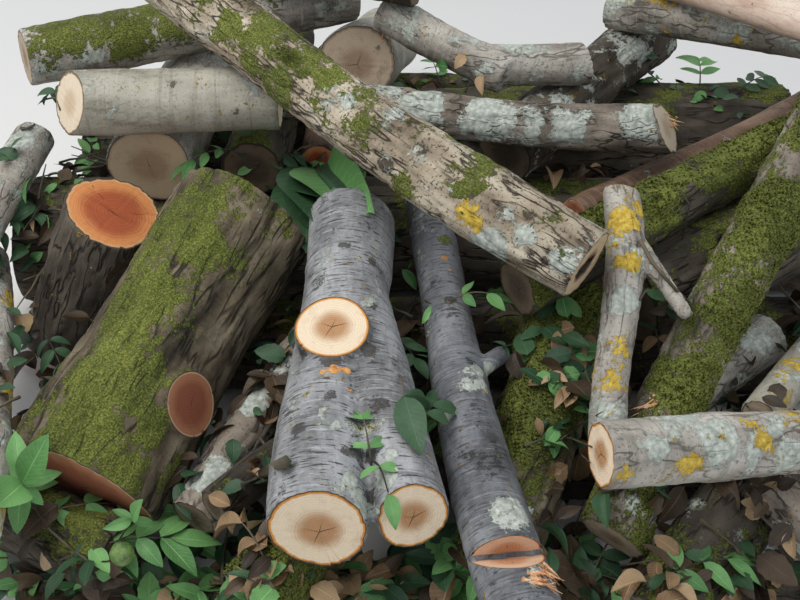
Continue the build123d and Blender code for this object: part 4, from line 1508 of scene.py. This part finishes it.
def addFruit():
    place, _ = landing(fruit["pixel"], fruit["lift"])
    start = landing(fruit["twig"], 0.03)[0]
    top = place + Vector((0, 0, fruit["radius"]))
    greens.stem([start, (start + top) / 2 + Vector((0, 0, 0.008)), top], 0.002, 0.0016)
    shape = bmesh.new()
    bmesh.ops.create_icosphere(shape, subdivisions=4, radius=fruit["radius"])
    for vert in shape.verts:
        along = vert.co.z / fruit["radius"]
        seam = 0.03 * math.cos(2 * math.atan2(vert.co.y, vert.co.x))
        dimples = 0.012 * math.sin(400 * vert.co.x) * math.sin(370 * vert.co.y)
        vert.co *= 1 + seam * (1 - along ** 2) + 0.06 * along ** 8 + dimples
        vert.co.z *= 1.12
        vert.co = vert.co + place
    mesh = bpy.data.meshes.new("walnutFruit")
    shape.to_mesh(mesh)
    shape.free()
    smooth(mesh)
    mesh.materials.append(plainMaterial("walnutHusk"))
    piece = addPiece("walnutFruit", mesh)
    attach(piece, "root")


addFruit()


# All stems and twigs as one mesh of tapering tubes
def stemMesh(name, stems, material):
    points, faces = [], []
    sides = 5
    for path, thick, thin in stems:
        start = len(points)
        for number, place in enumerate(path):
            share = number / (len(path) - 1)
            tangent = (path[min(number + 1, len(path) - 1)] - path[max(number - 1, 0)]).normalized()
            across = tangent.orthogonal().normalized()
            upward = tangent.cross(across)
            radius = thick + (thin - thick) * share
            for side in range(sides):
                turn = 2 * math.pi * side / sides
                points.append(place + (across * math.cos(turn) + upward * math.sin(turn)) * radius)
        for number in range(len(path) - 1):
            for side in range(sides):
                one, two = start + sides * number + side, start + sides * number + (side + 1) % sides
                faces.append((one, two, two + sides, one + sides))
        faces.append(tuple(start + side for side in reversed(range(sides))))
        faces.append(tuple(start + sides * (len(path) - 1) + side for side in range(sides)))
    mesh = bpy.data.meshes.new(name)
    mesh.from_pydata([tuple(point) for point in points], [], faces)
    smooth(mesh)
    mesh.materials.append(material)
    piece = addPiece(name, mesh)
    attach(piece, "root")


for (finish, number), spots in sorted(greens.leaves.items()):
    scattered("leaves_" + finish + "_" + str(number), leafSources[number], spots, leafFinish[finish])
stemMesh("twigs", greens.stems, plainMaterial("twig"))


# Splinters on torn wood: the pixels where they start and that they point at, how many, and length in metres
splinterSites = (
    ((532, 576), (556, 592), 26, 0.034),
    ((545, 570), (562, 590), 18, 0.040),
    ((669, 118), (688, 134), 6, 0.030),
    ((654, 400), (638, 420), 9, 0.050),
    ((384, 40), (392, 20), 4, 0.02),
)


def splinterPaths():
    paths = []
    for start, target, count, reach in splinterSites:
        for _ in range(count):
            place = landing((start[0] + 4 * chance.normal(), start[1] + 4 * chance.normal()), -0.002)[0]
            aim = cameraSpot() + throughPixel(target) * (place - cameraSpot()).length - place
            aim = aim.normalized() + Vector(chance.normal(0, 0.22, 3)) + Vector((0, 0, 0.2))
            length = reach * chance.uniform(0.35, 1)
            bend = Vector(chance.normal(0, 0.06, 3)) * length
            path = [place, place + aim * 0.5 * length + bend, place + aim * length]
            if all(boxed(point, 0.004) for point in path):
                paths.append((path, chance.uniform(0.0015, 0.0042), 0.0004))
    return paths


stemMesh("splinters", splinterPaths(), plainMaterial("splinter"))
print("leaves and twigs placed:", sum(len(spots) for spots in greens.leaves.values()), len(greens.stems))


# Tufts of moss stand where the bark is mossy and looks up
mossTuft = dict(count=7200, blades=4, length=0.0075, width=0.0018)


def tuftSource():
    points, faces, marks = [], [], []
    for blade in range(mossTuft["blades"]):
        turn = 2.4 * blade
        lean = 0.35 + 0.1 * blade
        out = Vector((math.cos(turn), math.sin(turn), 0))
        aside = Vector((-out.y, out.x, 0)) * mossTuft["width"]
        start = len(points)
        tip = (out * lean + Vector((0, 0, 1))) * mossTuft["length"]
        points += [tuple(-aside), tuple(aside), tuple(tip * 0.6 + aside * 0.8),
                   tuple(tip * 0.6 - aside * 0.8), tuple(tip)]
        faces += [(start, start + 1, start + 2, start + 3), (start + 3, start + 2, start + 4)]
        marks += [(0, 0, 0), (0, 0, 0), (0, 0.6, 0), (0, 0.6, 0), (0, 1, 0)]
    return sourceObject("mossTuft", points, faces, marks)


def mossSpots():
    spots = []
    mossy = [piece for name, (piece, _, _) in logs.items()
             if logLooks.get(name, shadedGroundLook).get("moss", 0) > 0.3]
    whole = sum(len(piece.data.polygons) for piece in mossy)
    for piece in mossy:
        mesh = piece.data
        places, normals = rowsOf(mesh.vertices), rowsOf(mesh.vertices, "normal")
        cover = np.empty(len(places))
        mesh.attributes["moss"].data.foreach_get("value", cover)
        good = np.flatnonzero((cover > 0.55) & (normals[:, 2] > 0.05))
        share = mossTuft["count"] * len(mesh.polygons) / whole / 1
        for vert in chance.choice(good, size=min(len(good), int(share)), replace=False):
            normal = Vector(normals[vert]) + Vector(chance.normal(0, 0.3, 3))
            size = chance.uniform(0.5, 1.15) * cover[vert]
            if boxed(places[vert], 0.009):
                spots.append((places[vert] - 0.001 * normals[vert], bladeTurn(normal.orthogonal(), normal),
                              (size, size, size), chance.uniform(0, 1)))
    return spots


def mossMaterial():
    material, tree, surface = newMaterial("mossTufts")
    low, middle, high = lichenTones["moss"]
    blade = addNode(tree, "ShaderNodeSeparateXYZ", {0: attribute(tree, "blade", "Vector")})
    tint = blend(tree, attribute(tree, "shade"), middle, high)
    dressSurface(tree, surface, blend(tree, blade.outputs[1], low, tint), 0.9, 0.2)
    return material


scattered("mossTufts", tuftSource(), mossSpots(), mossMaterial())
print("moss tufts placed")


# Floor, light and camera

paleFloor = (0.80, 0.79, 0.77)
backdropColour = (0.86, 0.87, 0.88)
lamps = dict(
    key=dict(place=(-1.6, -0.4, 3.2), size=2.2, power=75, colour=(1, 0.98, 0.95)),
    fill=dict(place=(2.4, -2.0, 2.4), size=2.5, power=22, colour=(0.9, 0.95, 1)),
)


def addFloor():
    mesh = bpy.data.meshes.new("floor")
    mesh.from_pydata([(-9, -9, 0), (9, -9, 0), (9, 9, 0), (-9, 9, 0)], [], [(0, 1, 2, 3)])
    floor = addPiece("floor", mesh)
    material, tree, surface = newMaterial("paleFloor")
    surface.inputs["Base Color"].default_value = paint(paleFloor)
    surface.inputs["Roughness"].default_value = 0.9
    place = objectPlace(tree)
    away = addNode(tree, "ShaderNodeVectorMath", {0: place}, operation="LENGTH").outputs["Value"]
    path = addNode(tree, "ShaderNodeLightPath")
    far = times(tree, slope(tree, away, 1.6, 4.2), path.outputs["Is Camera Ray"])
    bright = addNode(tree, "ShaderNodeEmission", {"Color": paint(backdropColour), "Strength": 1.0})
    mixed = addNode(tree, "ShaderNodeMixShader", {0: far, 1: surface.outputs[0], 2: bright.outputs[0]})
    tree.links.new(mixed.outputs[0], tree.nodes["Material Output"].inputs["Surface"])
    mesh.materials.append(material)
    floor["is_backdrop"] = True


def addLamp(name, values):
    lamp = bpy.data.lights.new(name, "AREA")
    lamp.energy = values["power"]
    lamp.size = values["size"]
    lamp.color = values["colour"]
    holder = addPiece(name, lamp)
    holder.location = values["place"]
    aim = Vector((0, 0, 0.3)) - Vector(values["place"])
    holder.rotation_euler = aim.to_track_quat("-Z", "Y").to_euler()


def addSurroundings():
    scene = bpy.context.scene
    world = bpy.data.worlds.new("soft sky")
    scene.world = world
    world.use_nodes = True
    tree = world.node_tree
    tree.nodes.clear()
    path = addNode(tree, "ShaderNodeLightPath")
    seen = calc(tree, "MAXIMUM", path.outputs["Is Camera Ray"], path.outputs["Is Glossy Ray"])
    seen = calc(tree, "MAXIMUM", seen, path.outputs["Is Transmission Ray"])
    sky = addNode(tree, "ShaderNodeBackground", {"Color": (0.90, 0.94, 1.0, 1), "Strength": 0.6})
    backdrop = addNode(tree, "ShaderNodeBackground", {"Color": paint(backdropColour), "Strength": 1.0})
    mixed = addNode(tree, "ShaderNodeMixShader", {0: seen, 1: sky.outputs[0], 2: backdrop.outputs[0]})
    output = addNode(tree, "ShaderNodeOutputWorld")
    tree.links.new(mixed.outputs[0], output.inputs["Surface"])
    for name, values in lamps.items():
        addLamp(name, values)
    scene.view_settings.view_transform = "Standard"


def addCamera():
    lens = bpy.data.cameras.new("camera")
    lens.lens = cameraPlace["lens"]
    lens.sensor_width = cameraPlace["sensor"]
    camera = addPiece("camera", lens)
    camera.location = cameraSpot()
    camera.rotation_euler = (math.radians(cameraPlace["tilt"]), 0, 0)
    bpy.context.scene.camera = camera


addFloor()
addSurroundings()
addCamera()
print("floor, light and camera placed")

pieces = [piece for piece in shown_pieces() if piece.name not in frame["nodes"]]
counts = sorted(((sum(len(face.vertices) - 2 for face in piece.data.polygons), piece.name)
                 for piece in pieces), reverse=True)
print("triangles:", sum(count for count, _ in counts), counts[:5])
